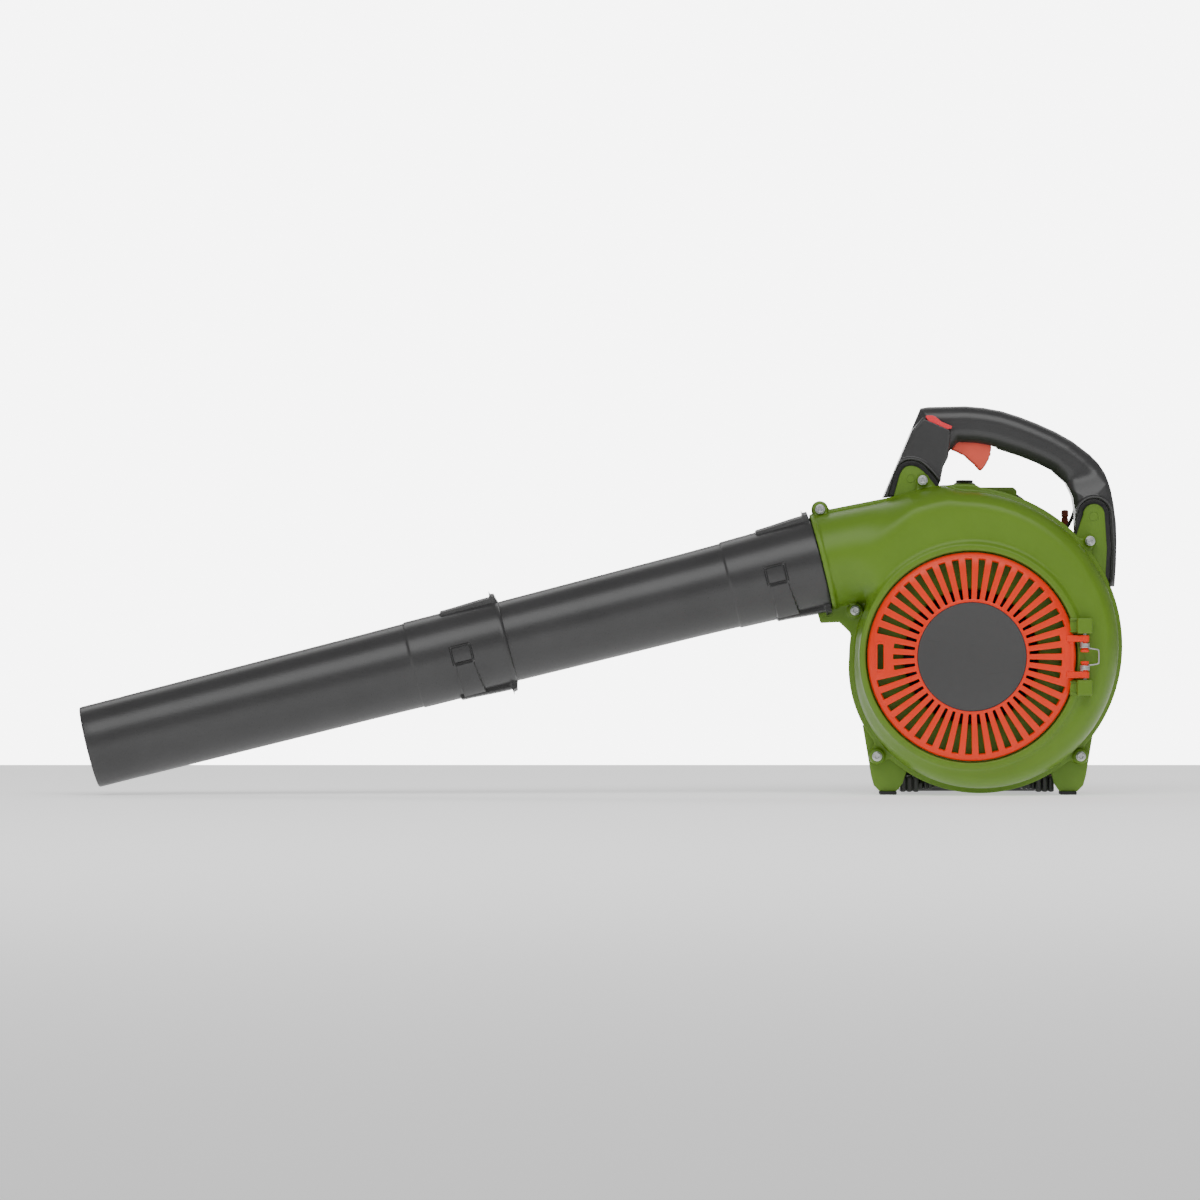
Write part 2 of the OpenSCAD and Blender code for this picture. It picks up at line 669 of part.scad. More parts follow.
module piston_pin() color(steel) bar_y(0, piston_z, 4, cyl_y - 15.5, cyl_y + 15.5);

module piston_rings() color(steel) for (z = ring_zs) translate([0, cyl_y, z]) difference() {
    cylinder(r = bore_d / 2 + 0.03, h = 1.5);
    translate([0, 0, -1]) cylinder(r = bore_d / 2 - 1.6, h = 4);
}

module cylinder_fin(z) translate([-38, cyl_y - 25, z]) cube([76, 54, 2]);

module engine_cylinder() color("#B9BCBE") difference() {
    union() {
        translate([0, cyl_y, cyl_base_z]) cylinder(r = 23, h = 62);
        translate([-30, cyl_y - 25, cyl_base_z]) cube([60, 50, 6]);
        for (k = [0 : 7]) cylinder_fin(cyl_base_z + 10 + 6.8 * k);
        bar_x(cyl_y, 76, 13, -44, 0);
        bar_x(cyl_y, 76, 13, 0, 44);
    }
    translate([0, cyl_y, cyl_base_z - 1]) cylinder(r = bore_r, h = piston_z + 18 - cyl_base_z);
    translate([0, cyl_y, piston_z + 10]) cylinder(r = 7, h = 40);
    bar_x(cyl_y, 76, 7, -45, -10);
    bar_x(cyl_y, 76, 7, 10, 45);
}

module spark_plug() color("#E8E4DA") translate([0, cyl_y, 0]) {
    translate([0, 0, 94]) cylinder(r = 7, h = 12);
    translate([0, 0, 106]) cylinder(r = 10, h = 7, $fn = 6);
    translate([0, 0, 113]) cylinder(r = 5, h = 20);
}

module plug_boot() color("#1E1E1E") difference() {
    union() {
        translate([0, cyl_y, 117]) cylinder(r = 9, h = 30);
        translate([0, cyl_y + 14, 141]) rotate([90, 0, 0]) cylinder(r = 5, h = 14);
    }
    translate([0, cyl_y, 116]) cylinder(r = 5, h = 17);
}

coil_at = [-22, flywheel_y + 8, 62];

module plug_lead() color("#1E1E1E") sweep(smooth([[0, cyl_y + 14.2, 141], [-1, cyl_y + 22, 141], [-6, cyl_y + 32, 134],
    [-14, flywheel_y + 6, 118], [-20, flywheel_y + 8, 96], [-22, flywheel_y + 8, 80], [-22, flywheel_y + 8, 76.2]], 3), 3, 10);

module ignition_coil() color("#2A2A2A") {
    block(coil_at + [-15, -8, -8], coil_at + [15, 8, 14]);
    for (s = [-1, 1]) block(coil_at + [s * 11 - 3, -5, -18 + 3 * s], coil_at + [s * 11 + 3, 5, -7.5]);
}

module flywheel() color("#9EA2A5") difference() {
    union() {
        bar_y(0, 0, 46, flywheel_y, flywheel_y + 14);
        bar_y(0, 0, 14, flywheel_y, flywheel_y + 20);
        for (k = [0 : 15]) rotate([0, 22.5 * k, 0]) block([26, flywheel_y + 13, -1.2], [46, flywheel_y + 22, 1.2]);
    }
    bar_y(0, 0, 6, flywheel_y - 1, flywheel_y + 21);
}

// Nuts of the impeller and the flywheel, with the impeller's washer
module crankshaft_nuts() color(steel) {
    difference() {
        union() {
            translate([0, back_y - 43.5, 0]) rotate([90, 0, 0]) cylinder(r = 9, h = 6, $fn = 6);
            bar_y(0, 0, 10.5, back_y - 43.6, back_y - 42);
        }
        bar_y(0, 0, fan_shaft_r, back_y - 55, back_y - 40);
    }
    difference() {
        translate([0, flywheel_y + 28, 0]) rotate([90, 0, 0]) cylinder(r = 9, h = 6, $fn = 6);
        bar_y(0, 0, 6, flywheel_y + 19, flywheel_y + 29);
    }
}

module starter_cup() color(steel) difference() {
    bar_y(0, 0, 17, flywheel_y + 20, rope_y - 8);
    bar_y(0, 0, 12.5, flywheel_y + 22, rope_y - 7);
    bar_y(0, 0, 6, flywheel_y + 19, flywheel_y + 22);
}

module muffler() color("#8A8A88") difference() {
    block([-98, cyl_y - 20, 46], [-44, cyl_y + 26, 99]);
    block([-96.5, cyl_y - 18.5, 47.5], [-45.5, cyl_y + 24.5, 97.5]);
    bar_x(cyl_y, 76, 7, -46, -43);
    bar_y(-84, 58, 5, cyl_y + 24, cyl_y + 27);
}

module muffler_guard() color(black) difference() {
    block([-108, cyl_y - 25, 40], [-52, cyl_y + 31, 110]);
    block([-104, cyl_y - 21, 43], [-50, cyl_y + 27, 107]);
    for (k = [0 : 4]) block([-110, cyl_y - 16 + 9 * k, 50], [-103, cyl_y - 12 + 9 * k, 100]);
    block([-94, cyl_y + 26, 50], [-74, cyl_y + 32, 66]);
}

module insulator_block() color("#3E352C") difference() {
    block([44, cyl_y - 17, 60], [carb_at.x - 16, cyl_y + 17, 92]);
    bar_x(cyl_y, 76, 7, 43, carb_at.x);
}

module carburettor() color("#A8ABAD") difference() {
    union() {
        block(carb_at - [16, 17, 17], carb_at + [16, 17, 17]);
        bar_y(carb_at.x, carb_at.z + 8, 4.5, carb_at.y - 20, carb_at.y + 10);
        block(carb_at + [-10, 16, -14], carb_at + [10, 19, 6]);
    }
    bar_x(cyl_y, 76, 7, carb_at.x - 17, carb_at.x + 17);
    bar_y(carb_at.x, carb_at.z + 8, 2.05, carb_at.y - 21, carb_at.y - 6);
    bar_y(primer_at.x, primer_at.z, 8.4, primer_at.y - 5.5, primer_at.y + 1);
}

module throttle_lever() color(steel) {
    bar_y(carb_at.x, carb_at.z + 8, 2, carb_at.y - 24, carb_at.y - 7);
    prism(carb_at.y - 22.8, carb_at.y - 20.6) polygon(concat(
        [for (a = [180 : 30 : 360]) [carb_at.x, carb_at.z + 8] + 4.5 * [cos(a), sin(a)]],
        [[carb_at.x + 3, carb_at.z + 24], [carb_at.x - 3, carb_at.z + 24]]));
}

cable_route = [[108, handle_y + 2, 150], [103, handle_y + 2, 150], [98, handle_y + 2.5, 149.8], [93, handle_y + 8, 147],
    [91, handle_y + 16, 140], [90, handle_y + 24, 124], [82, handle_y + 30, 108], [76, handle_y + 31, 104.5]];

module throttle_cable() color("#1E1E1E") sweep(smooth(cable_route, 4), 2, 10, [0.2, 0.95, 0.1]);

filter_x = carb_at.x + 16;

module filter_base() color(black) difference() {
    union() {
        block([filter_x, cyl_y - 26, 38], [filter_x + 4, cyl_y + 26, 112]);
        block([filter_x, cyl_y - 8, 110], [filter_x + 4, cyl_y + 8, 126]);
    }
    bar_x(cyl_y, 76, 9, filter_x - 1, filter_x + 5);
    bar_x(cyl_y, 119, 2.05, filter_x - 1, filter_x + 5);
    bar_x(cyl_y, 46, 2.05, filter_x - 1, filter_x + 5);
}

module filter_element() color("#CFC8A8") difference() {
    block([filter_x + 4.2, cyl_y - 22, 54], [filter_x + 18, cyl_y + 22, 104]);
    block([filter_x + 3, cyl_y - 15, 60], [filter_x + 14, cyl_y + 15, 98]);
}

module filter_cover() color(black) difference() {
    block([filter_x + 4, cyl_y - 26, 38], [filter_x + 36, cyl_y + 26, 108]);
    block([filter_x + 3, cyl_y - 23.5, 40.5], [filter_x + 33.5, cyl_y + 23.5, 105.5]);
    bar_x(cyl_y, 46, 2.6, filter_x + 30, filter_x + 40);
    for (k = [0 : 3]) block([filter_x + 10, cyl_y + 22, 60 + 10 * k], [filter_x + 28, cyl_y + 27, 64 + 10 * k]);
}

module filter_knob() color(black) {
    bar_x(cyl_y, 46, 2, filter_x, filter_x + 38);
    bar_x(cyl_y, 46, 9, filter_x + 36.3, filter_x + 44);
}

module choke_lever() color("#7E3B33") {
    bar_x(cyl_y, 119, 2, filter_x - 3, filter_x + 6);
    block([filter_x + 4.3, cyl_y - 4, 113.5], [filter_x + 10.8, cyl_y + 4, 134]);
    block([filter_x + 4.3, cyl_y - 7, 134], [filter_x + 10.8, cyl_y + 7, 141.6]);
}

primer_at = [carb_at.x, cyl_y + 19, 72];

module primer_bulb() color("#C9B98A") translate(primer_at) rotate([-90, 0, 0]) rotate_extrude()
    polygon([[0, 0.3], [8, 0.3], [8, 4], [6.5, 8], [3.5, 10], [0, 10.6]]);

module fuel_tank() color("#D8D4C0") difference() {
    union() {
        block(tank_lo, tank_hi);
        bar_x(neck_at.y, neck_at.z, 15, tank_hi.x - 1, tank_hi.x + 12);
    }
    block(tank_lo + [2, 2, 2], tank_hi - [2, 2, 2]);
    bar_x(neck_at.y, neck_at.z, 12.5, tank_hi.x - 3, tank_hi.x + 13);
}

module fuel_cap() color(orange) difference() {
    bar_x(neck_at.y, neck_at.z, 19, tank_hi.x + 3, tank_hi.x + 17);
    bar_x(neck_at.y, neck_at.z, 15.05, tank_hi.x + 2, tank_hi.x + 12.3);
}

module fuel_line() color("#C8A860") sweep(smooth([[60, cyl_y - 8, -67.3], [61, cyl_y - 8, -40], [66, cyl_y - 7, 0],
    [72, cyl_y - 6, 35], [74, cyl_y - 6, 52], [74, cyl_y - 6, 58.8]], 4), 2.5, 10);

module engine_cover() color(green) difference() {
    union() {
        prism(back_y + 1, shroud_y - 0.5) polygon([[-48, 100], [-48, 155], [-40, 162.7], [32, 162.7], [48.8, 156.4], [50.5, 100]]);
        translate([0, cyl_y, 160]) rotate_extrude() polygon([[0, 0], [13.5, 0], [12, 5], [9, 8.4], [0, 8.4]]);
    }
    prism(back_y + 3.5, shroud_y + 1) polygon([[-45.5, 90], [-45.5, 154], [-39, 160.2], [31.5, 160.2], [46.3, 154.6], [48, 90]]);
    translate([0, cyl_y, 155]) cylinder(r = 7.5, h = 20);
}

module plug_cap() color("#2A2A2A") difference() {
    union() {
        translate([0, cyl_y, 160.2]) cylinder(r = 7.5, h = 8.4);
        translate([0, cyl_y, 168.4]) cylinder(r = 8.2, h = 2.2);
    }
    translate([0, cyl_y, 160]) cylinder(r = 5.5, h = 7);
}

// ---- Starter ----

module shroud_outline(inset) {
    circle(r = 66 - inset);
    polygon([[-66 + inset, 0], [66 - inset, 0], [70.4 - inset, 126], [37.4, 159.8 - inset], [-37.4, 159.8 - inset], [-70.4 + inset, 126]]);
    for (s = [-1, 1]) translate([s * 37.4, 126.8]) circle(r = 33 - inset);
}

module starter_housing() color(black) difference() {
    union() {
        difference() {
            prism(shroud_y, shroud_back_y) shroud_outline(0);
            prism(shroud_y - 1, shroud_back_y - 3) shroud_outline(3);
            bar_y(0, 0, 44, shroud_back_y - 4, shroud_back_y + 1);
        }
        difference() {
            bar_y(0, 0, 52, shroud_back_y - 3, recoil_back_y);
            bar_y(0, 0, 48.5, shroud_back_y - 4, recoil_back_y - 3);
            for (k = [0 : 11]) rotate([0, 30 * k + 15, 0]) block([26, recoil_back_y - 4, -2.5], [43, recoil_back_y + 1, 2.5]);
        }
        difference() {
            block([-rope_pitch_r - 10, shroud_back_y - 1, 32], [-rope_pitch_r + 10, rope_y + 8, 52]);
            bar_y(0, 0, 48.5, shroud_back_y - 4, recoil_back_y - 3);
        }
        bar_y(0, 0, 5, rope_y - 8, recoil_back_y - 2);
    }
    translate([-rope_pitch_r, rope_y, 20]) cylinder(r = rope_r + 0.75, h = 40);
}

module starter_reel() color("#E6E2D6") difference() {
    union() {
        bar_y(0, 0, 38.5, rope_y - 4, rope_y - 2);
        bar_y(0, 0, 33.8, rope_y - 2.5, rope_y + 2.5);
        bar_y(0, 0, 38.5, rope_y + 2, rope_y + 4);
        bar_y(0, 0, 10, rope_y - 7.6, rope_y);
        for (s = [-1, 1]) bar_y(s * 7.5, 0, 2.5, rope_y - 13, rope_y);
    }
    bar_y(0, 0, 5.05, rope_y - 14, rope_y + 5);
}

module starter_spring() color(steel) for (r = [14 : 3 : 32]) difference() {
    bar_y(0, 0, r, rope_y + 6, rope_y + 11);
    bar_y(0, 0, r - 0.7, rope_y + 5, rope_y + 12);
}

module starter_rope() color("#D9D4C4") {
    translate([-rope_pitch_r, rope_y, 10]) cylinder(r = rope_r, h = 48);
}

module starter_grip() color(black) difference() {
    block([-rope_pitch_r - 32, rope_y - 6, 52.3], [-rope_pitch_r + 32, rope_y + 10, 70]);
    translate([-rope_pitch_r, rope_y, 50]) cylinder(r = rope_r, h = 8);
}

// The two screws that hold the crankcase together
module engine_screws() color(steel) {
    for (s = [-1, 1]) {
        bar_y(46 * s, -14, 2.5, crank_lo + 1, crank_hi + 1);
        bar_y(46 * s, -14, 4.5, crank_hi, crank_hi + 2.5);
    }
}

volute_front();
volute_rear();
intake_grille();
grille_badge();
grille_hinge_pins();
grille_spring();
casing_screws();
impeller();
handle_front();
handle_rear();
handle_screws();
throttle_trigger();
trigger_pin();
trigger_spring();
stop_switch();
switch_contacts();
blower_tube();
nozzle_tube();
foot_pads();
base_guard();
crankcase_front();
crankcase_rear();
engine_cylinder();
crankshaft();
main_bearings();
connecting_rod();
crank_pin();
piston();
piston_pin();
piston_rings();
flywheel();
crankshaft_nuts();
ignition_coil();
spark_plug();
plug_boot();
plug_lead();
muffler();
muffler_guard();
insulator_block();
carburettor();
throttle_lever();
throttle_cable();
filter_base();
filter_element();
filter_cover();
filter_knob();
choke_lever();
primer_bulb();
fuel_tank();
fuel_cap();
fuel_line();
engine_cover();
plug_cap();
starter_housing();
starter_reel();
starter_spring();
starter_rope();
starter_grip();
starter_cup();
engine_screws();
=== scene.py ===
"""Looks of the petrol leaf blower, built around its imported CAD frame.

Shapes are worked out in millimetres in the CAD frame (+X away from the nozzle, +Y from the intake
side to the engine side, +Z up, origin at the centre of the intake throat) and stored in metres.
Shells are distance fields, negative inside, meshed by contour(); tubes are grids of radius over
length and angle; the rest are swept, turned or extruded outlines.
"""

import json
import math

import bmesh
import bpy
import numpy as np
from mathutils import Matrix, Vector


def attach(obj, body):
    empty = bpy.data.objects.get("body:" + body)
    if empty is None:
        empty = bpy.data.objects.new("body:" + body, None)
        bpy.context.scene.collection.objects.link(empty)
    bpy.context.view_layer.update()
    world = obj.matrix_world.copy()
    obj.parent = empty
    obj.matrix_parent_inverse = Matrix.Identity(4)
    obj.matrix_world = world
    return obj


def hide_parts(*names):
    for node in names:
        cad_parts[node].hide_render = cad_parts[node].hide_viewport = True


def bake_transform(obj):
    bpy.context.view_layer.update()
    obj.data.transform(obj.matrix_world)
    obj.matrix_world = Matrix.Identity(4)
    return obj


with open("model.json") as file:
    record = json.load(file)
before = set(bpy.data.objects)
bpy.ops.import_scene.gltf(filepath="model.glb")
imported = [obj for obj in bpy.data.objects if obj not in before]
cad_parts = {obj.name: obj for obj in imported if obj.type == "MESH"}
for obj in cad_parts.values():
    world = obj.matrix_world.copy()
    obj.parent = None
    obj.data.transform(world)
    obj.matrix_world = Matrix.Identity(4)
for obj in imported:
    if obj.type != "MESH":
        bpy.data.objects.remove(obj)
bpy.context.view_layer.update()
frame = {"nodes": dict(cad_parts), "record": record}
NODES = frame["nodes"]
MM = 0.001

# ---- Driving sizes, in millimetres, as in the CAD source ----

FACE_Y, PART_Y, BACK_Y = -8.0, 40.0, 88.0
HALF_DEPTH = PART_Y - FACE_Y
SPIRAL_START, SPIRAL_END = 115.0, 163.0
FLANGE_W = 5.0
WALL = 3.0
THROAT_R, RECESS_R = 64.0, 101.0
TILT = math.radians(14.2)
RIM_AT = np.array([-142.2, PART_Y, 90.3])
ALONG = np.array([-math.cos(TILT), 0.0, -math.sin(TILT)])
TUBE_UP = np.array([-math.sin(TILT), 0.0, math.cos(TILT)])
RIM_R, DUCT_R, DUCT_BORE_R = 46.8, 45.0, 39.0
SCREWS = [(-143, 141), (-109.2, 44), (-44.6, 168.8), (116, 110.6), (-88.3, -95.9), (107, -95.9)]
LUG_R, SLIM_LUG_R = 8.0, 5.9
SLIM_LUGS = {z for _, z in SCREWS[2:4]}
HINGE_X, HINGE_Y = 107.5, FACE_Y - 6
FLOOR_Z = -133.0

# ---- Distance fields ----


def rounded(a, b, r):
    """The corner between distances a and b, rounded with radius r."""
    a, b = a + r, b + r
    return np.minimum(np.maximum(a, b), 0) + np.hypot(np.maximum(a, 0), np.maximum(b, 0)) - r


def join(a, b, k=0.0):
    """Both solids together, with a fillet about k wide."""
    if k <= 0:
        return np.minimum(a, b)
    h = np.maximum(k - np.abs(a - b), 0) / k
    return np.minimum(a, b) - h * h * k / 4


def cut(a, b, k=0.0):
    """Solid a without solid b, with an eased edge about k wide."""
    return -join(-a, b, k)


def both(a, b, k=0.0):
    """What solids a and b share."""
    return -join(-a, -b, k)


def between(v, lo, hi):
    return np.maximum(lo - v, v - hi)


def slab(d, v, lo, hi, r):
    """The outline with distance d, made solid from lo to hi along coordinate v, with rounded edges."""
    return rounded(d, between(v, lo, hi), r)


def block(p, lo, hi, r=0.5):
    """A block between two corners, with rounded edges."""
    lo, hi = np.array(lo, float), np.array(hi, float)
    q = np.abs(p - (lo + hi) / 2) - (hi - lo) / 2 + r
    return np.minimum(q.max(1), 0) + np.linalg.norm(np.maximum(q, 0), axis=1) - r


def bar(p, axis, at, r, lo, hi, edge=0.3):
    """A round bar along an axis (0, 1 or 2), through the two other coordinates in at."""
    others = [i for i in range(3) if i != axis]
    d = np.hypot(p[:, others[0]] - at[0], p[:, others[1]] - at[1]) - r
    return slab(d, p[:, axis], lo, hi, edge)


class Flat:
    """The signed distance to a closed outline in X and Z, looked up in a table."""

    def __init__(self, outline, step=0.8, margin=24):
        pts = np.array(outline, float)
        self.lo = pts.min(0) - margin
        self.n = np.ceil((pts.max(0) + margin - self.lo) / step).astype(int) + 1
        self.step = step
        x, z = np.meshgrid(*[self.lo[i] + step * np.arange(self.n[i]) for i in (0, 1)], indexing="ij")
        best = np.full(x.shape, 1e9)
        inside = np.zeros(x.shape, bool)
        for a, b in zip(pts, np.roll(pts, -1, 0)):
            e = b - a
            t = np.clip(((x - a[0]) * e[0] + (z - a[1]) * e[1]) / max(e @ e, 1e-9), 0, 1)
            best = np.minimum(best, np.hypot(x - a[0] - t * e[0], z - a[1] - t * e[1]))
            if a[1] != b[1]:
                inside ^= ((a[1] > z) != (b[1] > z)) & (x < a[0] + (z - a[1]) * e[0] / e[1])
        self.table = np.where(inside, -best, best)

    def __call__(self, p):
        u = (p[:, [0, 2]] - self.lo) / self.step
        i = np.clip(u.astype(int), 0, self.n - 2)
        f = np.clip(u - i, 0, 1)
        t = self.table
        half = (self.n - 1) / 2
        far = np.linalg.norm(np.maximum(np.abs(u - half) - half, 0), axis=1) * self.step
        low = t[i[:, 0], i[:, 1]] * (1 - f[:, 0]) + t[i[:, 0] + 1, i[:, 1]] * f[:, 0]
        high = t[i[:, 0], i[:, 1] + 1] * (1 - f[:, 0]) + t[i[:, 0] + 1, i[:, 1] + 1] * f[:, 0]
        return low * (1 - f[:, 1]) + high * f[:, 1] + far


CELLS, CHUNK = 8, 400_000


def sample(field, points):
    flat = points.reshape(-1, 3)
    parts = [field(flat[i : i + CHUNK]) for i in range(0, len(flat), CHUNK)]
    return np.concatenate(parts).reshape(points.shape[:-1])


def layers(values, axis, first):
    """As many layers of a block's values as it has cells, from the first, along an axis."""
    return values[(slice(None),) * (axis + 1) + (slice(first, first + CELLS),)]


def contour(field, lo, hi, step):
    """Vertices and quads of a field's zero level, by surface nets in blocks near it."""
    lo = np.array(lo, float) - 1.5 * step
    size = step * CELLS
    count = np.ceil((np.array(hi, float) + 1.5 * step - lo) / size).astype(int)
    blocks = np.stack(np.meshgrid(*[np.arange(n) for n in count], indexing="ij"), -1).reshape(-1, 3)
    blocks = blocks[np.abs(sample(field, lo + (blocks + 0.5) * size)) < 1.05 * size]
    corner = np.stack(np.meshgrid(*[np.arange(CELLS + 1)] * 3, indexing="ij"), -1)
    grid = blocks[:, None, None, None] * CELLS + corner
    value = sample(field, lo + grid * step)
    span = CELLS * count + 2
    inner = slice(0, CELLS)
    total = np.zeros((len(blocks), CELLS, CELLS, CELLS, 3))
    hits = np.zeros(total.shape[:-1])
    stride = np.array([span[1] * span[2], span[2], 1])
    cell_id = (grid[:, inner, inner, inner] + 1) @ stride
    edges = []
    for axis in range(3):
        b, c = (axis + 1) % 3, (axis + 2) % 3
        v0, v1 = layers(value, axis, 0), layers(value, axis, 1)
        crosses = (v0 < 0) != (v1 < 0)
        t = np.where(crosses, v0 / np.where(crosses, v0 - v1, 1), 0)
        for db in (0, 1):
            for dc in (0, 1):
                hit = layers(layers(crosses, b, db), c, dc)
                total[..., axis] += np.where(hit, layers(layers(t, b, db), c, dc), 0)
                total[..., b] += hit * db
                total[..., c] += hit * dc
                hits += hit
        hit = layers(layers(crosses, b, 0), c, 0)
        edges.append((b, c, cell_id[hit], layers(layers(v0, b, 0), c, 0)[hit] < 0))
    used = hits > 0
    verts = lo + (grid[:, inner, inner, inner][used] + total[used] / hits[used][:, None]) * step
    ids = cell_id[used]
    order = np.argsort(ids)
    verts, ids = verts[order], ids[order]
    quads = []
    for b, c, cells, outward in edges:
        ring = np.stack([cells, cells - stride[b], cells - stride[b] - stride[c], cells - stride[c]], 1)
        ring[~outward] = ring[~outward][:, ::-1]
        at = np.searchsorted(ids, ring).clip(0, len(ids) - 1)
        quads.append(at[(ids[at] == ring).all(1)])
    quads = np.concatenate(quads)
    h = step * 0.2
    for _ in range(3):
        value = sample(field, verts)
        ahead = [sample(field, verts + h * e) - sample(field, verts - h * e) for e in np.eye(3)]
        slope = np.stack(ahead, 1)
        slope /= 2 * h
        move = value / np.maximum((slope**2).sum(1), 0.25)
        verts = verts - np.clip(move, -step / 2, step / 2)[:, None] * slope
    return verts, quads


# ---- Meshes ----


def place(name, data):
    """A new object in the scene."""
    thing = bpy.data.objects.new(name, data)
    bpy.context.scene.collection.objects.link(thing)
    return thing


def shade(piece, angle):
    """Smooth shading; edges sharper than the angle stay crisp."""
    piece.data.polygons.foreach_set("use_smooth", [True] * len(piece.data.polygons))
    if angle:
        piece.data.set_sharp_from_angle(angle=math.radians(angle))
    return piece


def new_mesh(name, verts, faces, smooth_angle):
    """A piece from vertices in millimetres."""
    mesh = bpy.data.meshes.new(name)
    faces = np.asarray(faces) if len({len(f) for f in faces}) == 1 else faces
    if isinstance(faces, np.ndarray):
        n, k = faces.shape
        mesh.vertices.add(len(verts))
        mesh.vertices.foreach_set("co", (np.asarray(verts, np.float32) * MM).ravel())
        mesh.loops.add(n * k)
        mesh.loops.foreach_set("vertex_index", faces.astype(np.int32).ravel())
        mesh.polygons.add(n)
        mesh.polygons.foreach_set("loop_start", np.arange(0, n * k, k, dtype=np.int32))
        mesh.update(calc_edges=True)
    else:
        mesh.from_pydata([tuple(v) for v in np.asarray(verts, float) * MM], [], faces)
    mesh.validate()
    return shade(place(name, mesh), smooth_angle)


def finish(piece, body, slot, *replaces):
    """Gives a piece its material slot, its body and the CAD nodes that it stands for."""
    piece.data.materials.clear()
    piece.data.materials.append(material(slot))
    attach(piece, body)
    if replaces:
        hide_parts(*replaces)
    return piece


def carve(name, field, lo, hi, step, *finishing):
    return finish(new_mesh(name, *contour(field, lo, hi, step), None), *finishing)


def modify(piece, kind, **settings):
    """Adds a modifier."""
    modifier = piece.modifiers.new(kind, kind)
    for key, value in settings.items():
        setattr(modifier, key, value)


def apply_modifiers(piece):
    """Bakes a piece's modifiers into its mesh."""
    depsgraph = bpy.context.evaluated_depsgraph_get()
    mesh = bpy.data.meshes.new_from_object(piece.evaluated_get(depsgraph))
    piece.modifiers.clear()
    piece.data = mesh
    return piece


def bevel(piece, width, angle):
    modify(
        piece, "BEVEL", width=width * MM, segments=2, limit_method="ANGLE", angle_limit=math.radians(angle)
    )


def prism_piece(name, outline, y0, y1, edge=0.8):
    """A flat outline in X and Z made solid along Y, with bevelled edges."""
    n = len(outline)
    area = sum(a[0] * b[1] - b[0] * a[1] for a, b in zip(outline, outline[1:] + outline[:1]))
    outline = outline if area > 0 else outline[::-1]
    verts = [(x, y, z) for y in (y0, y1) for x, z in outline]
    faces = [tuple(range(n)), tuple(range(2 * n - 1, n - 1, -1))]
    faces += [(i, i + n, (i + 1) % n + n, (i + 1) % n) for i in range(n)]
    piece = new_mesh(name, verts, faces, None)
    bevel(piece, edge, 40)
    return shade(apply_modifiers(piece), 50)


def box_outline(x0, z0, x1, z1):
    return [(x0, z0), (x1, z0), (x1, z1), (x0, z1)]


def curve_points(points, steps):
    """A smooth route through the given points."""
    p = [np.array(q, float) for q in points]
    n = len(p)
    route = []
    for i in range(n - 1):
        a, b, c, d = p[max(i - 1, 0)], p[i], p[i + 1], p[min(i + 2, n - 1)]
        square, cube = 2 * a - 5 * b + 4 * c - d, 3 * b - 3 * c + d - a
        for t in np.arange(steps) / steps:
            route.append(b + (c - a) * t / 2 + square * t**2 / 2 + cube * t**3 / 2)
    return np.array(route + [p[-1]])


def wire(name, route, r, sides=12, closed=False):
    """A round tube along a route; r is one radius or one for each point."""
    route = np.asarray(route, float)
    n = len(route)
    radii = np.broadcast_to(r, n)
    ahead = np.roll(route, -1, 0) - np.roll(route, 1, 0)
    if not closed:
        ahead[0], ahead[-1] = route[1] - route[0], route[-1] - route[-2]
    ahead /= np.linalg.norm(ahead, axis=1)[:, None]
    side = np.cross(ahead[0], [0.31, 0.2, 0.93])
    verts = []
    for i in range(n):
        side = side - ahead[i] * (side @ ahead[i])
        side /= np.linalg.norm(side)
        up = np.cross(ahead[i], side)
        for k in range(sides):
            a = 2 * math.pi * k / sides
            verts.append(route[i] + radii[i] * (side * math.cos(a) + up * math.sin(a)))
    faces = []
    for i in range(n if closed else n - 1):
        for k in range(sides):
            this, ahead_row, m = i * sides, (i + 1) % n * sides, (k + 1) % sides
            faces.append((this + k, this + m, ahead_row + m, ahead_row + k))
    if not closed:
        faces += [tuple(range(sides))[::-1], tuple((n - 1) * sides + k for k in range(sides))]
    return new_mesh(name, verts, faces, 50)


def turned(name, profile, at, axis, sides, ripple=None):
    """A profile of (radius, height) turned round an axis; ripple(angle, height) is added to its radii."""
    axis = np.array(axis, float) / np.linalg.norm(axis)
    a = np.cross(axis, [0.0, 0.0, 1.0] if abs(axis[2]) < 0.9 else [1.0, 0.0, 0.0])
    a /= np.linalg.norm(a)
    b = np.cross(axis, a)
    verts, faces = [], []
    for r, h in profile:
        for k in range(sides):
            t = 2 * math.pi * k / sides
            q = r + (ripple(t, h) if ripple and r > 0.01 else 0)
            verts.append(np.array(at) + axis * h + q * (a * math.cos(t) + b * math.sin(t)))
    for i in range(len(profile) - 1):
        for k in range(sides):
            m = (k + 1) % sides
            faces.append((i * sides + k, i * sides + m, (i + 1) * sides + m, (i + 1) * sides + k))
    piece = new_mesh(name, verts, faces, 35)
    bm = bmesh.new()
    bm.from_mesh(piece.data)
    bmesh.ops.remove_doubles(bm, verts=bm.verts, dist=1e-6)
    bmesh.ops.recalc_face_normals(bm, faces=bm.faces)
    bm.to_mesh(piece.data)
    bm.free()
    return shade(piece, 35)


def joined(name, pieces):
    """Several meshes as one."""
    verts, faces, n = [], [], 0
    for piece in pieces:
        verts += [np.array(v.co) / MM for v in piece.data.vertices]
        faces += [tuple(v + n for v in f.vertices) for f in piece.data.polygons]
        n = len(verts)
        bpy.data.objects.remove(piece)
    return new_mesh(name, verts, faces, 40)


# ---- Materials ----

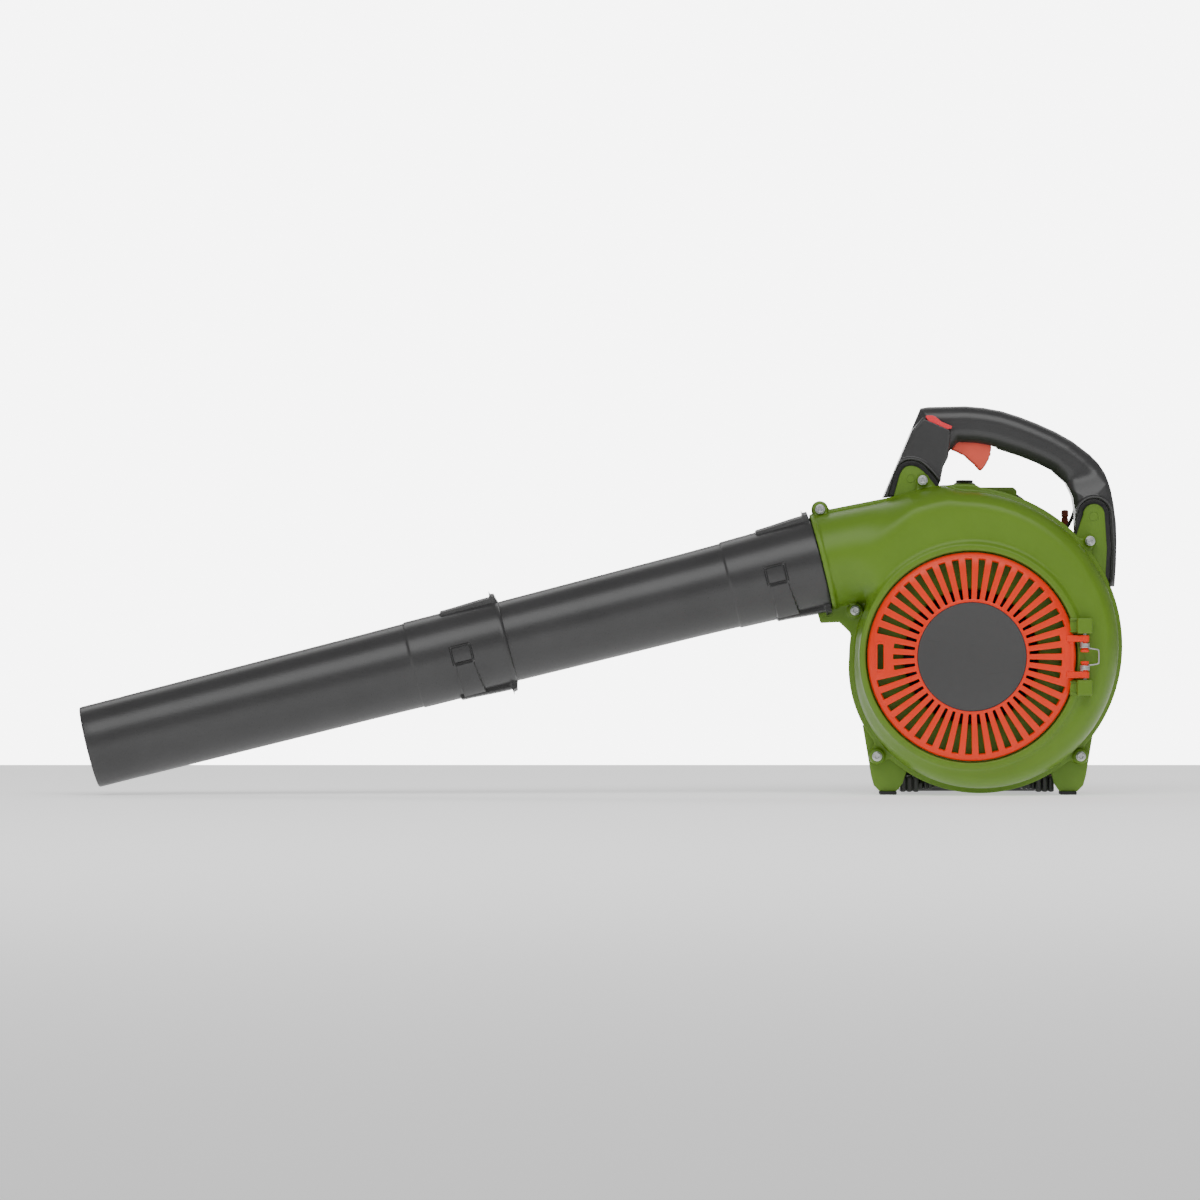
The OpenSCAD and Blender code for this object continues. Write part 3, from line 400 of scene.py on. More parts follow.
# Colour, roughness, grain of the surface in mm, its strength, metallic, and how much the colour wanders
FINISHES = {
    "green_plastic": ((0.112, 0.212, 0.016), 0.36, 0.5, 0.05, 0, 0.05),
    "orange_plastic": ((0.82, 0.034, 0.005), 0.3, 0.5, 0.04, 0, 0.04),
    "grey_disc": ((0.05, 0.05, 0.05), 0.6, 0.3, 0.1, 0, 0.03),
    "bright_steel": ((0.5, 0.52, 0.51), 0.3, 0.4, 0.08, 1, 0.08),
    "spring_steel": ((0.5, 0.5, 0.48), 0.3, 0.3, 0.05, 1, 0.1),
    "black_plastic": ((0.037, 0.037, 0.0375), 0.3, 0.45, 0.16, 0, 0.12),
    "coral_plastic": ((0.8, 0.1, 0.065), 0.3, 0.5, 0.04, 0, 0.04),
    "red_plastic": ((0.8, 0.04, 0.055), 0.33, 0.5, 0.05, 0, 0.04),
    "pin_steel": ((0.55, 0.55, 0.54), 0.25, 0.4, 0.05, 1, 0.08),
    "brass": ((0.6, 0.42, 0.12), 0.3, 0.4, 0.05, 1, 0.1),
    "rubber": ((0.02, 0.02, 0.02), 0.75, 0.6, 0.25, 0, 0.15),
    "cast_aluminium": ((0.5, 0.51, 0.52), 0.5, 0.7, 0.3, 1, 0.12),
    "coil_resin": ((0.02, 0.02, 0.022), 0.25, 0.6, 0.05, 0, 0.2),
    "plug_ceramic": ((0.8, 0.78, 0.72), 0.15, 0.5, 0.02, 0, 0.04),
    "muffler_steel": ((0.3, 0.27, 0.23), 0.45, 0.8, 0.15, 1, 0.3),
    "phenolic": ((0.05, 0.032, 0.022), 0.5, 0.5, 0.15, 0, 0.2),
    "filter_felt": ((0.6, 0.52, 0.33), 0.95, 0.9, 0.6, 0, 0.15),
    "brown_plastic": ((0.2, 0.04, 0.022), 0.45, 0.5, 0.12, 0, 0.08),
    "primer_rubber": ((0.58, 0.47, 0.22), 0.3, 0.5, 0.04, 0, 0.06),
    "tank_plastic": ((0.68, 0.64, 0.48), 0.42, 0.8, 0.1, 0, 0.06),
    "fuel_hose": ((0.58, 0.38, 0.1), 0.35, 0.5, 0.05, 0, 0.08),
    "nylon": ((0.78, 0.75, 0.64), 0.4, 0.5, 0.06, 0, 0.04),
    "rope": ((0.7, 0.65, 0.5), 0.9, 0.9, 0.5, 0, 0.12),
}


def node(tree, kind, links=(), **values):
    """A shader node with inputs set or linked by name; links are (input, source node, output)."""
    n = tree.nodes.new(kind)
    for key, value in values.items():
        if hasattr(n, key):
            setattr(n, key, value)
        else:
            n.inputs[key.replace("_", " ")].default_value = value
    for name, source, output in links:
        tree.links.new(source.outputs[output], n.inputs[name])
    return n


def ramp(tree, source, output, stops):
    n = tree.nodes.new("ShaderNodeValToRGB")
    tree.links.new(source.outputs[output], n.inputs[0])
    e = n.color_ramp.elements
    while len(e) < len(stops):
        e.new(0.5)
    for element, (at, value) in zip(e, stops):
        element.position = at
        element.color = (*value, 1) if isinstance(value, tuple) else (value, value, value, 1)
    return n


def scaled(tree, source, factor):
    """A value times a factor."""
    n = node(tree, "ShaderNodeMath", [(0, source, 0)], operation="MULTIPLY")
    n.inputs[1].default_value = factor
    return n


def total(tree, a, b):
    return node(tree, "ShaderNodeMath", [(0, a, 0), (1, b, 0)], operation="ADD")


def material(slot):
    """The finish of a slot: colour that wanders, grain, fine scratches, worn edges, and painted shade that
    darkens the hollows.
    """
    if slot + "_finish" in bpy.data.materials:
        return bpy.data.materials[slot + "_finish"]
    color, rough, grain, strength, metallic, wander = FINISHES[slot]
    m = bpy.data.materials.new(slot + "_finish")
    m.use_nodes = True
    t = m.node_tree
    t.nodes.clear()
    out = t.nodes.new("ShaderNodeOutputMaterial")
    shader = t.nodes.new("ShaderNodeBsdfPrincipled")
    t.links.new(shader.outputs[0], out.inputs[0])
    where = t.nodes.new("ShaderNodeTexCoord")
    cloud = node(
        t, "ShaderNodeTexNoise", [("Vector", where, "Object")], Scale=18.0, Detail=4.0, Roughness=0.6
    )
    fine = node(t, "ShaderNodeTexNoise", [("Vector", where, "Object")], Scale=700.0 / grain, Detail=2.0)
    stretch = node(
        t, "ShaderNodeMapping", [("Vector", where, "Object")],
        Scale=(30.0, 900.0, 260.0), Rotation=(0.4, 0.3, 0.9),
    )
    scratch = node(t, "ShaderNodeTexNoise", [("Vector", stretch, 0)], Scale=1.0, Detail=3.0, Roughness=0.7)
    lines = ramp(t, scratch, 0, [(0.66, 0.0), (0.74, 1.0)])
    shape = t.nodes.new("ShaderNodeNewGeometry")
    edges = ramp(t, shape, "Pointiness", [(0.52, 0.0), (0.6, 1.0)])
    # Painted shade: hollows (low pointiness) are marked to be darkened as if shade fell in them
    hollow_shade_mask = ramp(t, shape, "Pointiness", [(0.40, 1.0), (0.48, 0.0)])
    low = tuple(c * (1 - wander) for c in color)
    high = tuple(min(c * (1 + wander), 1) for c in color)
    base = ramp(t, cloud, 0, [(0.3, low), (0.7, high)])
    wear = scaled(t, edges, 0.35)
    worn = node(t, "ShaderNodeMix", [(0, wear, 0), (6, base, 0)], data_type="RGBA")
    lift = 0.5 if metallic else 0.22
    worn.inputs[7].default_value = (*[min(c + lift * (0.35 + c) * (0.6 - min(c, 0.5)), 1) for c in color], 1)
    # Painted shade: the colour drops towards 45 % in the hollows, standing in for shade there
    painted_shade_amount = scaled(t, hollow_shade_mask, 0.35)
    shaded_color = node(t, "ShaderNodeMix", [(0, painted_shade_amount, 0), (6, worn, 2)], data_type="RGBA")
    shaded_color.inputs[7].default_value = (*[c * 0.45 for c in color], 1)
    t.links.new(shaded_color.outputs[2], shader.inputs["Base Color"])
    shine = ramp(t, fine, 0, [(0.2, max(rough - 0.05, 0.02)), (0.8, rough + 0.07)])
    dulled = total(t, total(t, shine, scaled(t, lines, 0.1)), wear)
    t.links.new(dulled.outputs[0], shader.inputs["Roughness"])
    bump = node(t, "ShaderNodeBump", [("Height", fine, 0)], Strength=strength, Distance=0.0002)
    t.links.new(bump.outputs[0], shader.inputs["Normal"])
    shader.inputs["Metallic"].default_value = metallic
    vivid = max(color) > 3 * min(color)
    shader.inputs["Specular IOR Level"].default_value = 0.3 if vivid else 0.5
    return m


# ---- Casing ----


def spiral_points(inset=0.0):
    points = []
    for t in np.arange(0, 360, 3):
        swell = t / 270 if t <= 270 else min(1, max(0, (334 - t) / 42))
        r = SPIRAL_START + (SPIRAL_END - SPIRAL_START) * swell - inset
        a = math.radians(180 + t)
        points.append((r * math.cos(a), r * math.sin(a)))
    return points


SPIRAL = Flat(spiral_points())
DUCT_STRIP = Flat([(-150, 138), (-30, 161.6), (-14, 163.6), (0, 163.4), (6, 162.4), (6, 60), (-127, 44)])
FIN_END = np.array([-31.0, PART_Y, 112.5])


def ease(v, a, b):
    """0 below a and 1 above b, smoothly."""
    t = np.clip((v - a) / (b - a), 0, 1)
    return t * t * (3 - 2 * t)


def along_tube(p):
    """Distance along the tube from the outlet rim, and distance from its axis."""
    q = p - RIM_AT
    return q @ ALONG, np.hypot(q @ TUBE_UP, q[:, 1])


def body(p):
    """The snail-shaped casing, with a quarter-ellipse round its edge."""
    a = (SPIRAL(p) + FLANGE_W) / 20
    b = (np.abs(p[:, 1] - PART_Y) - HALF_DEPTH) / 30
    return rounded(a, b, 1.0) * 20


def duct(p):
    """The outlet duct, from the fan to the rim."""
    ahead = (FIN_END - RIM_AT) / np.linalg.norm(FIN_END - RIM_AT)
    q = p - RIM_AT
    t = q @ ahead
    r = np.linalg.norm(q - t[:, None] * ahead, axis=1)
    s = q @ ALONG
    return rounded(r - DUCT_R, both(s + 0.5, t - 128), 1.5)


def casing_outside(p):
    snail, outlet = body(p), duct(p)
    lower, upper = join(snail, outlet, 3), join(snail, outlet, 24)
    both_parts = lower + (upper - lower) * ease(p[:, 2], 50, 72)
    return both(both_parts, np.abs(p[:, 1] - PART_Y) - HALF_DEPTH, 4)


def lug_radius(z):
    """The screw eyes on the tongues are slimmer than those on the strip."""
    return SLIM_LUG_R if z in SLIM_LUGS else LUG_R


def lug_outline(at, reach=34, base=17):
    """A lug from a screw towards the fan's axis: its length and the half width of its root."""
    at = np.array(at, float)
    d = np.linalg.norm(at)
    u = at / d
    n = np.array([-u[1], u[0]])
    a = u * (d - reach)
    tip = n * lug_radius(at[1])
    return [a + n * base, a - n * base, at - tip, at + tip]


LUGS = [Flat(lug_outline(at)) for at in SCREWS if at[0] > -100]
PLATE = Flat(
    [(-145, 40.4), (-142.3, 31.7), (-124.3, 32.6), (-111.5, 20.3), (-96, 40), (-118, 56), (-139, 48)]
)


def flange(p):
    """The strip round both halves, with its lugs and the plate below the outlet."""
    d = join(SPIRAL(p), DUCT_STRIP(p), 8)
    for lug in LUGS:
        d = join(d, lug(p), 3)
    d = join(d, PLATE(p), 3)
    for x, z in SCREWS:
        d = join(d, np.hypot(p[:, 0] - x, p[:, 2] - z) - lug_radius(z), 2)
    return d


def front_half(p):
    y = p[:, 1]
    outside = casing_outside(p)
    d = join(outside, bar(p, 1, (0, 0), RECESS_R + 6, FACE_Y - 3, 14, 1.5), 7)
    d = join(d, slab(flange(p), y, PART_Y - 4, PART_Y + 6, 1.0), 2.5)
    for x, z in SCREWS:
        d = join(d, bar(p, 1, (x, z), lug_radius(z) - 0.8, PART_Y - 8, PART_Y, 0.8), 1.0)
    s, r = along_tube(p)
    d = join(d, slab(r - RIM_R, s, -5.0, -0.2, 0.7), 0.6)
    hollow = cut(outside + WALL, bar(p, 1, (0, 0), RECESS_R + 3, FACE_Y - 9, 3, 0.5))
    hollow = cut(hollow, bar(p, 1, (0, 0), THROAT_R + 3, -5, 12, 0.8))
    d = cut(d, hollow, 0.5)
    d = cut(d, bar(p, 1, (0, 0), RECESS_R, FACE_Y - 9, 0, 1.0), 1.2)
    d = cut(d, bar(p, 1, (0, 0), THROAT_R, -6, 20, 0.3), 1.5)
    d = cut(d, slab(r - DUCT_BORE_R, s, -30, 20, 0.2))
    d = cut(d, block(p, (88, FACE_Y - 20, -22), (124, FACE_Y + 0.2, 22), 1.0), 1.0)
    for x, z in SCREWS:
        d = cut(d, bar(p, 1, (x, z), 5.1, PART_Y - 20, PART_Y - 7.9, 0.2), 0.5)
    return both(d, y - PART_Y + 0.12)


def rear_half(p):
    y = p[:, 1]
    outside = casing_outside(p)
    d = join(outside, slab(flange(p), y, PART_Y - 6, PART_Y + 4, 1.0), 2.5)
    for x, z in SCREWS:
        d = join(d, bar(p, 1, (x, z), LUG_R - 1, PART_Y, PART_Y + 18, 1.0), 2)
    s, r = along_tube(p)
    d = join(d, slab(r - RIM_R, s, -5.0, -0.2, 0.7), 0.6)
    d = cut(d, outside + WALL, 0.5)
    d = cut(d, slab(r - DUCT_BORE_R, s, -30, 20, 0.2))
    d = cut(d, bar(p, 1, (0, 0), 18, BACK_Y - 9, BACK_Y + 5, 0.3), 1.0)
    web = np.abs((np.degrees(np.arctan2(p[:, 2], p[:, 0])) + 7.5) % 30 - 15)
    far = np.hypot(p[:, 0], p[:, 2])
    reach = both(between(far, 52, 92), between(y, BACK_Y - 3, BACK_Y + 2.5))
    rib = rounded(np.radians(web) * far - 1.3, reach, 0.6)
    d = join(d, rib, 1.5)
    return both(d, PART_Y + 0.12 - y)


def outline_tongue_front():
    edge = [
        (-69.5, 163), (-65.6, 175.5), (-61, 181.6), (-54.5, 183), (-47.2, 180.4), (-38.8, 172.4), (-29, 160)
    ]
    return [tuple(q) for q in curve_points(edge, 5)] + [(-26, 132), (-76, 128), (-73, 150)]


def outline_tongue_rear():
    turns = np.radians(np.arange(0, 180.1, 10))
    arc = [(120.2 + 10.4 * math.cos(a), 136 + 10.4 * math.sin(a)) for a in turns]
    return arc + [(103.4, 116.2), (96, 96), (124, 56), (131.3, 75.5), (132.7, 103.2)]


LEGS = [
    [(-101.9, -65.7), (-93.5, -115), (-91, -124), (-85.6, -129.5), (-77, -131), (-69, -129.5), (-63.5, -122),
     (-60.1, -111.8), (-50, -90)],
    [(119.8, -72), (112.6, -115), (110, -124), (104.6, -129.5), (96, -131), (87, -129.5), (82, -122),
     (79.2, -111.8), (66, -90)],
]
LEG_MIDDLES = (-77, 96)

SCREW_STEP = 0.34
coarse = 1.7
green = "green_plastic"
carve(
    "casing_front", front_half, (-165, FACE_Y - 4, -140), (175, PART_Y, 185), coarse, "root", green,
    "volute_front",
)
carve(
    "casing_rear", rear_half, (-165, PART_Y, -140), (175, BACK_Y + 3, 185), coarse, "root", green,
    "volute_rear",
)
for i, (outline, x) in enumerate(zip(LEGS, LEG_MIDDLES)):
    finish(prism_piece(f"leg_{i}", outline, PART_Y + 0.5, PART_Y + 8, 1.2), "root", green)
    foot = box_outline(x - 7, -129.5, x + 7, -112)
    finish(prism_piece(f"leg_block_{i}", foot, PART_Y + 8, PART_Y + 24, 1.2), "root", green)
for name, outline in (("tongue_front", outline_tongue_front()), ("tongue_rear", outline_tongue_rear())):
    finish(prism_piece(name, outline, PART_Y, PART_Y + 6), "root", green)


for name, x, z, r in (("ejector_ring_front", -55.7, 170.9, 3.9), ("ejector_ring_rear", 120.2, 134.5, 4.4)):
    a = np.radians(np.arange(0, 360, 12))
    route = np.stack([x + r * np.cos(a), np.full(len(a), PART_Y), z + r * np.sin(a)], 1)
    finish(wire(name, route, 0.45, 8, closed=True), "root", green)


def screw_head(name, x, z, y, r, *replaces):
    """A flanged hexagon head with a recess, facing -Y."""
    def field(p):
        q = np.abs(np.stack([p[:, 0] - x, p[:, 2] - z], 1))
        hexagon = both(q[:, 0], q[:, 0] / 2 + q[:, 1] * 0.866) - r * 0.74
        d = slab(hexagon, p[:, 1], y, y + 4.5, 0.5)
        d = join(d, bar(p, 1, (x, z), r, y + 2.6, y + 4.5, 0.4), 0.4)
        turn = np.arctan2(p[:, 2] - z, p[:, 0] - x)
        star = np.hypot(p[:, 0] - x, p[:, 2] - z) - r * (0.42 + 0.05 * np.cos(6 * turn))
        return cut(d, slab(star, p[:, 1], y - 1, y + 1.8, 0.1), 0.2)

    lo, hi = (x - r - 1, y - 1, z - r - 1), (x + r + 1, y + 5, z + r + 1)
    carve(name, field, lo, hi, SCREW_STEP, "root", "bright_steel", *replaces)


for i, (x, z) in enumerate(SCREWS):
    screw_head(f"casing_screw_{i}", x, z, PART_Y - 12, 4.8, *["casing_screws"][i:])

# ---- Handle ----

GRIP_LO, GRIP_HI, HANDLE_Y = 48.0, 80.0, 64.0
POD_LO = PART_Y - 3
HANDLE_POINTS = [
    (-82.4, 152), (-64, 195), (-45.5, 238.7), (-38.5, 240), (-2, 240.8), (15, 239.4), (32.5, 236.2),
    (50, 230.7), (66.8, 224.2), (85, 216), (101, 207), (118, 194), (126, 185.6), (132, 176.2),
    (137.5, 160), (140.5, 146), (142.9, 128), (143.4, 110), (142.9, 88), (141.3, 66.8), (126, 66.8),
    (102.7, 100), (102.7, 117), (102.2, 140), (100.2, 153), (94, 166.7), (80.5, 178.7), (66, 186),
    (49.6, 192.5), (23, 201.1), (8, 203.8), (-8.6, 204.4), (-16.3, 196.7), (-24.1, 182),
    (-29.2, 158),
]
HANDLE = Flat(HANDLE_POINTS)
POD_FRONT = Flat([(-43.5, 229.6), (-16.8, 217.6), (-18.6, 201), (-24, 150), (-95, 140), (-64, 206)])
POD_REAR = Flat([(84, 170), (150, 190), (150, 60), (96, 60)])
ARCH_FRONT = Flat(outline_tongue_front())
ARCH_REAR = Flat(outline_tongue_rear())
CASING_ROOM = Flat(spiral_points(FLANGE_W))
DUCT_ROOM = Flat([(-150, 136), (-24, 158.5), (-24, 60), (-127, 44)])
TRIGGER_SLOT = Flat([(-19, 190), (-17, 210), (26, 210), (29, 195)])
LEDGE = np.array([-29.3, (POD_LO + GRIP_LO) / 2, 223.6])
LEDGE_TILT = math.radians(-24.4)


def on_ledge(p):
    """Points in the switch's own frame: X down the slope of its ledge, Z out of it."""
    q = p - LEDGE
    c, s = math.cos(LEDGE_TILT), math.sin(LEDGE_TILT)
    return np.stack([q[:, 0] * c + q[:, 2] * s, q[:, 1], -q[:, 0] * s + q[:, 2] * c], 1)


def handle(p):
    y = p[:, 1]
    outline = HANDLE(p)
    grip = rounded(outline, np.abs(y - HANDLE_Y) - 16, 14.5)
    ridge = rounded(outline, np.abs(y - HANDLE_Y + 1.2) - 2.2, 1.6)
    top = both(ridge, -(p[:, 2] - 150 + 0.2 * p[:, 0]))
    d = join(grip, top, 2)
    front = slab(both(outline, POD_FRONT(p)), y, POD_LO, GRIP_HI - 2, 3.2)
    swell = ease(-POD_REAR(p), -6, 30)
    rear = slab(outline, y, POD_LO + 14 * (1 - swell), GRIP_HI - 2, 3.2 + 9 * (1 - swell))
    rear = both(rear, POD_REAR(p) - 6)
    d = join(d, front, 1.2)
    d = join(d, rear, 3)
    d = both(d, slab(outline, y, POD_LO, GRIP_HI, 2.5), 1)
    arch = np.minimum(ARCH_FRONT(p), ARCH_REAR(p))
    bead = slab(np.abs(arch - 6.6) - 1.1, y, POD_LO - 2.2, POD_LO + 4, 1.0)
    d = join(d, both(bead, outline + 0.5), 1.6)
    hollow = both(rounded(outline + 3.2, np.abs(y - HANDLE_Y) - 12.5, 8), -(y - 47.0))
    d = cut(d, hollow)
    d = cut(d, both(arch - 5.0, y - PART_Y - 6.3), 1.2)
    room = np.minimum(CASING_ROOM(p), DUCT_ROOM(p)) - 0.5
    d = cut(d, room, 0.6)
    for lug in LUGS:
        d = cut(d, both(lug(p) - 0.6, y - PART_Y - 6.3))
    for x, z in SCREWS:
        d = cut(d, bar(p, 1, (x, z), lug_radius(z) + 0.4, PART_Y - 4, PART_Y + 18.5, 0.2))
    d = cut(d, both(TRIGGER_SLOT(p), np.abs(y - HANDLE_Y) - 7), 1.0)
    q = on_ledge(p)
    return cut(d, block(q, (-13.9, -4.2, -16), (13.9, 4.2, 9), 0.4), 0.6)


HANDLE_SCREWS = [(-42, 214), (62, 209), (124, 165), (-62, 178)]


def handle_front(p):
    return both(handle(p), p[:, 1] - HANDLE_Y + 0.12)


def handle_rear(p):
    d = both(handle(p), HANDLE_Y + 0.12 - p[:, 1])
    for x, z in HANDLE_SCREWS:
        d = join(d, bar(p, 1, (x, z), 5, HANDLE_Y, GRIP_HI - 1, 0.4), 1)
        d = cut(d, bar(p, 1, (x, z), 4.1, GRIP_HI - 4, GRIP_HI + 3, 0.2), 0.6)
    return d


fine = 1.05
black = "black_plastic"
lo, hi = (-90, POD_LO - 4, 60), (150, GRIP_HI + 2, 245)
carve("handle_half_front", handle_front, lo, (150, HANDLE_Y, 245), fine, "root", black, "handle_front")
carve("handle_half_rear", handle_rear, (-90, HANDLE_Y, 60), hi, fine, "root", black, "handle_rear")

TRIGGER_PIN = (-9, 214)
TRIGGER = Flat(
    [
        (-15.5, 208), (-15.5, 198.4), (-10, 196.3), (-2, 191.5), (6, 184.5), (10.5, 179.2),
        (12.8, 178.4), (15, 180.5), (19.5, 187), (22.3, 194), (23, 201.1), (21, 208), (4, 215),
        (-6, 216),
    ],
    step=0.5, margin=12,
)


def trigger(p):
    d = rounded(TRIGGER(p), np.abs(p[:, 1] - HANDLE_Y) - 6, 2.6)
    for z in (188, 193, 198):
        groove = np.abs(p[:, 2] - z + 0.25 * p[:, 0] - 4) - 0.5
        d = cut(
            d, both(both(groove, -(TRIGGER(p) + 1.0)), np.abs(p[:, 1] - HANDLE_Y) - 4.6), 0.5
        )
    d = join(d, bar(p, 1, TRIGGER_PIN, 6, HANDLE_Y - 6, HANDLE_Y + 6, 0.6), 1)
    return cut(d, bar(p, 1, TRIGGER_PIN, 2.05, 40, 90, 0.1))


carve(
    "trigger_lever", trigger, (-19, 56, 176), (27, 72, 222), 0.6, "trigger", "coral_plastic",
    "throttle_trigger",
)

ROCKER = Flat(
    [(-13.4, 0.4), (-13.4, 2.4), (-8.5, 4.6), (-5, 4.8), (2, 2.8), (13.4, 3), (13.4, 0.4), (4, -6), (-4, -6)],
    step=0.3, margin=6,
)


def rocker(p):
    q = on_ledge(p)
    d = rounded(ROCKER(q), np.abs(q[:, 1]) - 3.9, 0.9)
    for x in (5.5, 7.5, 9.5):
        d = cut(d, block(q, (x - 0.35, -2.8, 2.2), (x + 0.35, 2.8, 6), 0.2), 0.3)
    return join(d, bar(q, 1, (0, 0), 1.5, -4.5, 6.5, 0.2), 0.2)


carve(
    "stop_rocker_cap", rocker, (-46, 36, 208), (-13, 50, 236), 0.42, "switch", "red_plastic", "stop_switch"
)

# ---- Tubes ----

NOZZLE_START = 309.0


def zone(v, lo, hi, soft):
    """1 between lo and hi, falling to 0 over soft outside them."""
    return ease(v, lo - soft, lo) * (1 - ease(v, hi, hi + soft))


def collar(s, a, radius, end):
    """Outer radius of a bayonet collar at length s, a degrees from the top; both sides are alike."""
    a = a % 180
    from_top = np.minimum(a, 180 - a)
    turn = 0.8
    r = np.array(radius, float)
    rib = zone(from_top, -1, 20, turn)
    crown = 3.6 - 1.6 * ease(s, 8, end - 1) + 0.7 * zone(from_top, 15.5, 20, turn)
    r = r + rib * zone(s, 7, end - 1, 1.6) * crown
    r = r + zone(from_top, -1, 20.5, turn) * zone(s, 1.6, 6.6, 0.7) * 6.0
    tab = zone(a, 81.5, 100.5, turn) * zone(s, 37, 54, 0.5)
    frame_of_tab = zone(a, 79.2, 102.8, turn) * zone(s, 35, 55.6, 0.5)
    r = r - 1.3 * frame_of_tab + 2.1 * tab
    lean = 36.6 - 5 * (a - 102) / 60
    wedge = zone(a, 104.5, 157, turn) * ease(s, lean - 0.6, lean) * (1 - ease(s, 53.2, 54.0))
    r = r + 1.4 * wedge * (1 + 0.9 * ease(a, 104, 157))
    strip = zone(a, 158, 161, turn) * zone(s, 8, 53, 0.6)
    return r - 0.8 * strip


def tube_mesh(name, stations, outer, inner, start_s):
    """A tube on the outlet's axis: outer(s, angle) and inner(s) are radii at lengths from start_s."""
    sides = 360
    angle = np.linspace(0, 360, sides, endpoint=False)
    rings = [(s, outer(np.full(sides, s), angle)) for s in stations]
    rings += [(s, np.full(sides, r)) for s, r in reversed(inner)]
    side = np.array([0.0, -1.0, 0.0])
    c, sn = np.cos(np.radians(angle))[:, None], np.sin(np.radians(angle))[:, None]
    verts = [RIM_AT + ALONG * (start_s + s) + r[:, None] * (c * TUBE_UP + sn * side) for s, r in rings]
    n = len(rings)
    i, k = np.meshgrid(np.arange(n), np.arange(sides), indexing="ij")
    j, m = (i + 1) % n, (k + 1) % sides
    faces = np.stack([i * sides + k, i * sides + m, j * sides + m, j * sides + k], -1).reshape(-1, 4)
    return new_mesh(name, np.concatenate(verts), faces, 45)


rows = 0.8


def radii_along(s, a, profile, collar_end):
    """Outer radius at length s: a profile of (length, radius), with a collar on its first part."""
    base = np.interp(s, *zip(*profile))
    return np.where(s < 62, collar(s, a, base, collar_end), base)


def tube_piece(name, body_name, node_name, start_s, collar_end, profile, inner, stations):
    def outer(s, a):
        return radii_along(s, a, profile, collar_end)

    finish(tube_mesh(name, stations, outer, inner, start_s), body_name, black, node_name)


tube_piece(
    "upper_tube_shell", "upper_tube", "blower_tube", 0, 54,
    [(0, 43.4), (0.6, 44.2), (2, 44.6), (88.6, 42.4), (89.6, 42.1), (90.6, 41.3), (130, 40.6), (304, 39.2),
     (309, 39), (345, 39)],
    [(0.0, 41.7), (36, 41.7), (44, 39.2), (120, 38.6), (309, 37.0), (345, 37.0)],
    [*np.arange(0, 60, rows), 61, 65, 72, 80, 87, 88.6, 89.1, 89.6, 90.1, 90.6, 92, 100, 115,
     *np.arange(130, 304, 16), 304, 309, 320, 345],
)
tube_piece(
    "nozzle_tube_shell", "nozzle", "nozzle_tube", NOZZLE_START + 0.4, 57,
    [
        (0, 39.9), (0.5, 40.6), (1.2, 41.2), (2.2, 41.8), (4, 42.4), (92, 42.2), (93, 42.0),
        (94, 41.3), (140, 40.8), (370, 39.75), (374.4, 39.6), (412.5, 39.6), (414, 39.3),
        (414.5, 38.8),
    ],
    [(0.0, 39.3), (37.6, 39.3), (44, 39.2), (110, 39.2), (374, 37.6), (414.0, 37.7), (414.5, 38.2)],
    [0, 0.5, 1.2, 2.2, 4, *np.arange(5, 62, rows), 65, 72, 80, 88, 92, 92.5, 93, 93.5, 94, 96, 105, 120,
     *np.arange(140, 360, 20), 370, 374.4, 390, 405, 412.5, 413.3, 414, 414.5],
)

# ---- Grille ----

BARS = 45


# The outer face of the grille: (radius, Y)
GRILLE_FACE = [
    (0, -17.9), (53.5, -17.9), (54.6, -17.6), (55.4, -17.1), (84, -17), (88, -16.3), (93, -15), (96, -13),
    (97.8, -11.9), (99, -10.4), (99.5, -8.5), (99.8, -3),
]
GRILLE_RADII = [
    52.1, 52.6, 53.4, 54.3, 55, 58, 62, 66, 70, 75, 80, 84, 86, 88.5, 91, 94, 95.2, 96.6, 97.8,
    98.7, 99.3, 99.5,
]
SLOT_IN, SLOT_OUT = 55, 94


def grille():
    """The grille's face as a grid with its slots left open, then made thick and bevelled."""
    half = 180 / BARS
    radii = GRILLE_RADII
    bm = bmesh.new()
    grid = {}
    for i, r in enumerate(radii):
        slot_width = 1.3 + (3.3 - 1.3) * (min(max(r, SLOT_IN), SLOT_OUT) - SLOT_IN) / 39
        bar_half = half - math.degrees(slot_width / max(r, SLOT_IN))
        y = np.interp(r, *zip(*GRILLE_FACE))
        for k in range(BARS):
            mid = 2 * half * k
            turns = [mid + bar_half * share for share in (-1, -0.5, 0, 0.5, 1)] + [mid + half]
            for j, a in enumerate(np.radians(turns)):
                grid[i, k, j] = bm.verts.new((r * math.cos(a), y, r * math.sin(a)))
    for i in range(len(radii) - 1):
        lo, hi = radii[i], radii[i + 1]
        for k in range(BARS):
            for j in range(6):
                at = (k + 0.5) * 2 * half
                if j >= 4:
                    left, right = abs(at - 180) < 15, min(at, 360 - at) < 18
                    end = 75 if left else 86 if right else SLOT_OUT
                    if lo >= SLOT_IN and hi <= end:
                        continue
                n = (k, j + 1) if j < 5 else ((k + 1) % BARS, 0)
                bm.faces.new(
                    [grid[i, k, j], grid[i + 1, k, j], grid[i + 1, n[0], n[1]], grid[i, n[0], n[1]]]
                )
    mesh = bpy.data.meshes.new("grille_shell")
    bmesh.ops.recalc_face_normals(bm, faces=bm.faces)
    if sum(f.normal.y for f in bm.faces) > 0:
        bmesh.ops.reverse_faces(bm, faces=bm.faces)
    bm.to_mesh(mesh)
    bm.free()
    mesh.transform(Matrix.Scale(MM, 4))
    piece = place("grille_shell", mesh)
    modify(piece, "SOLIDIFY", thickness=3.0 * MM, offset=-1, use_even_offset=False)
    bevel(piece, 0.55, 50)
    return apply_modifiers(piece)


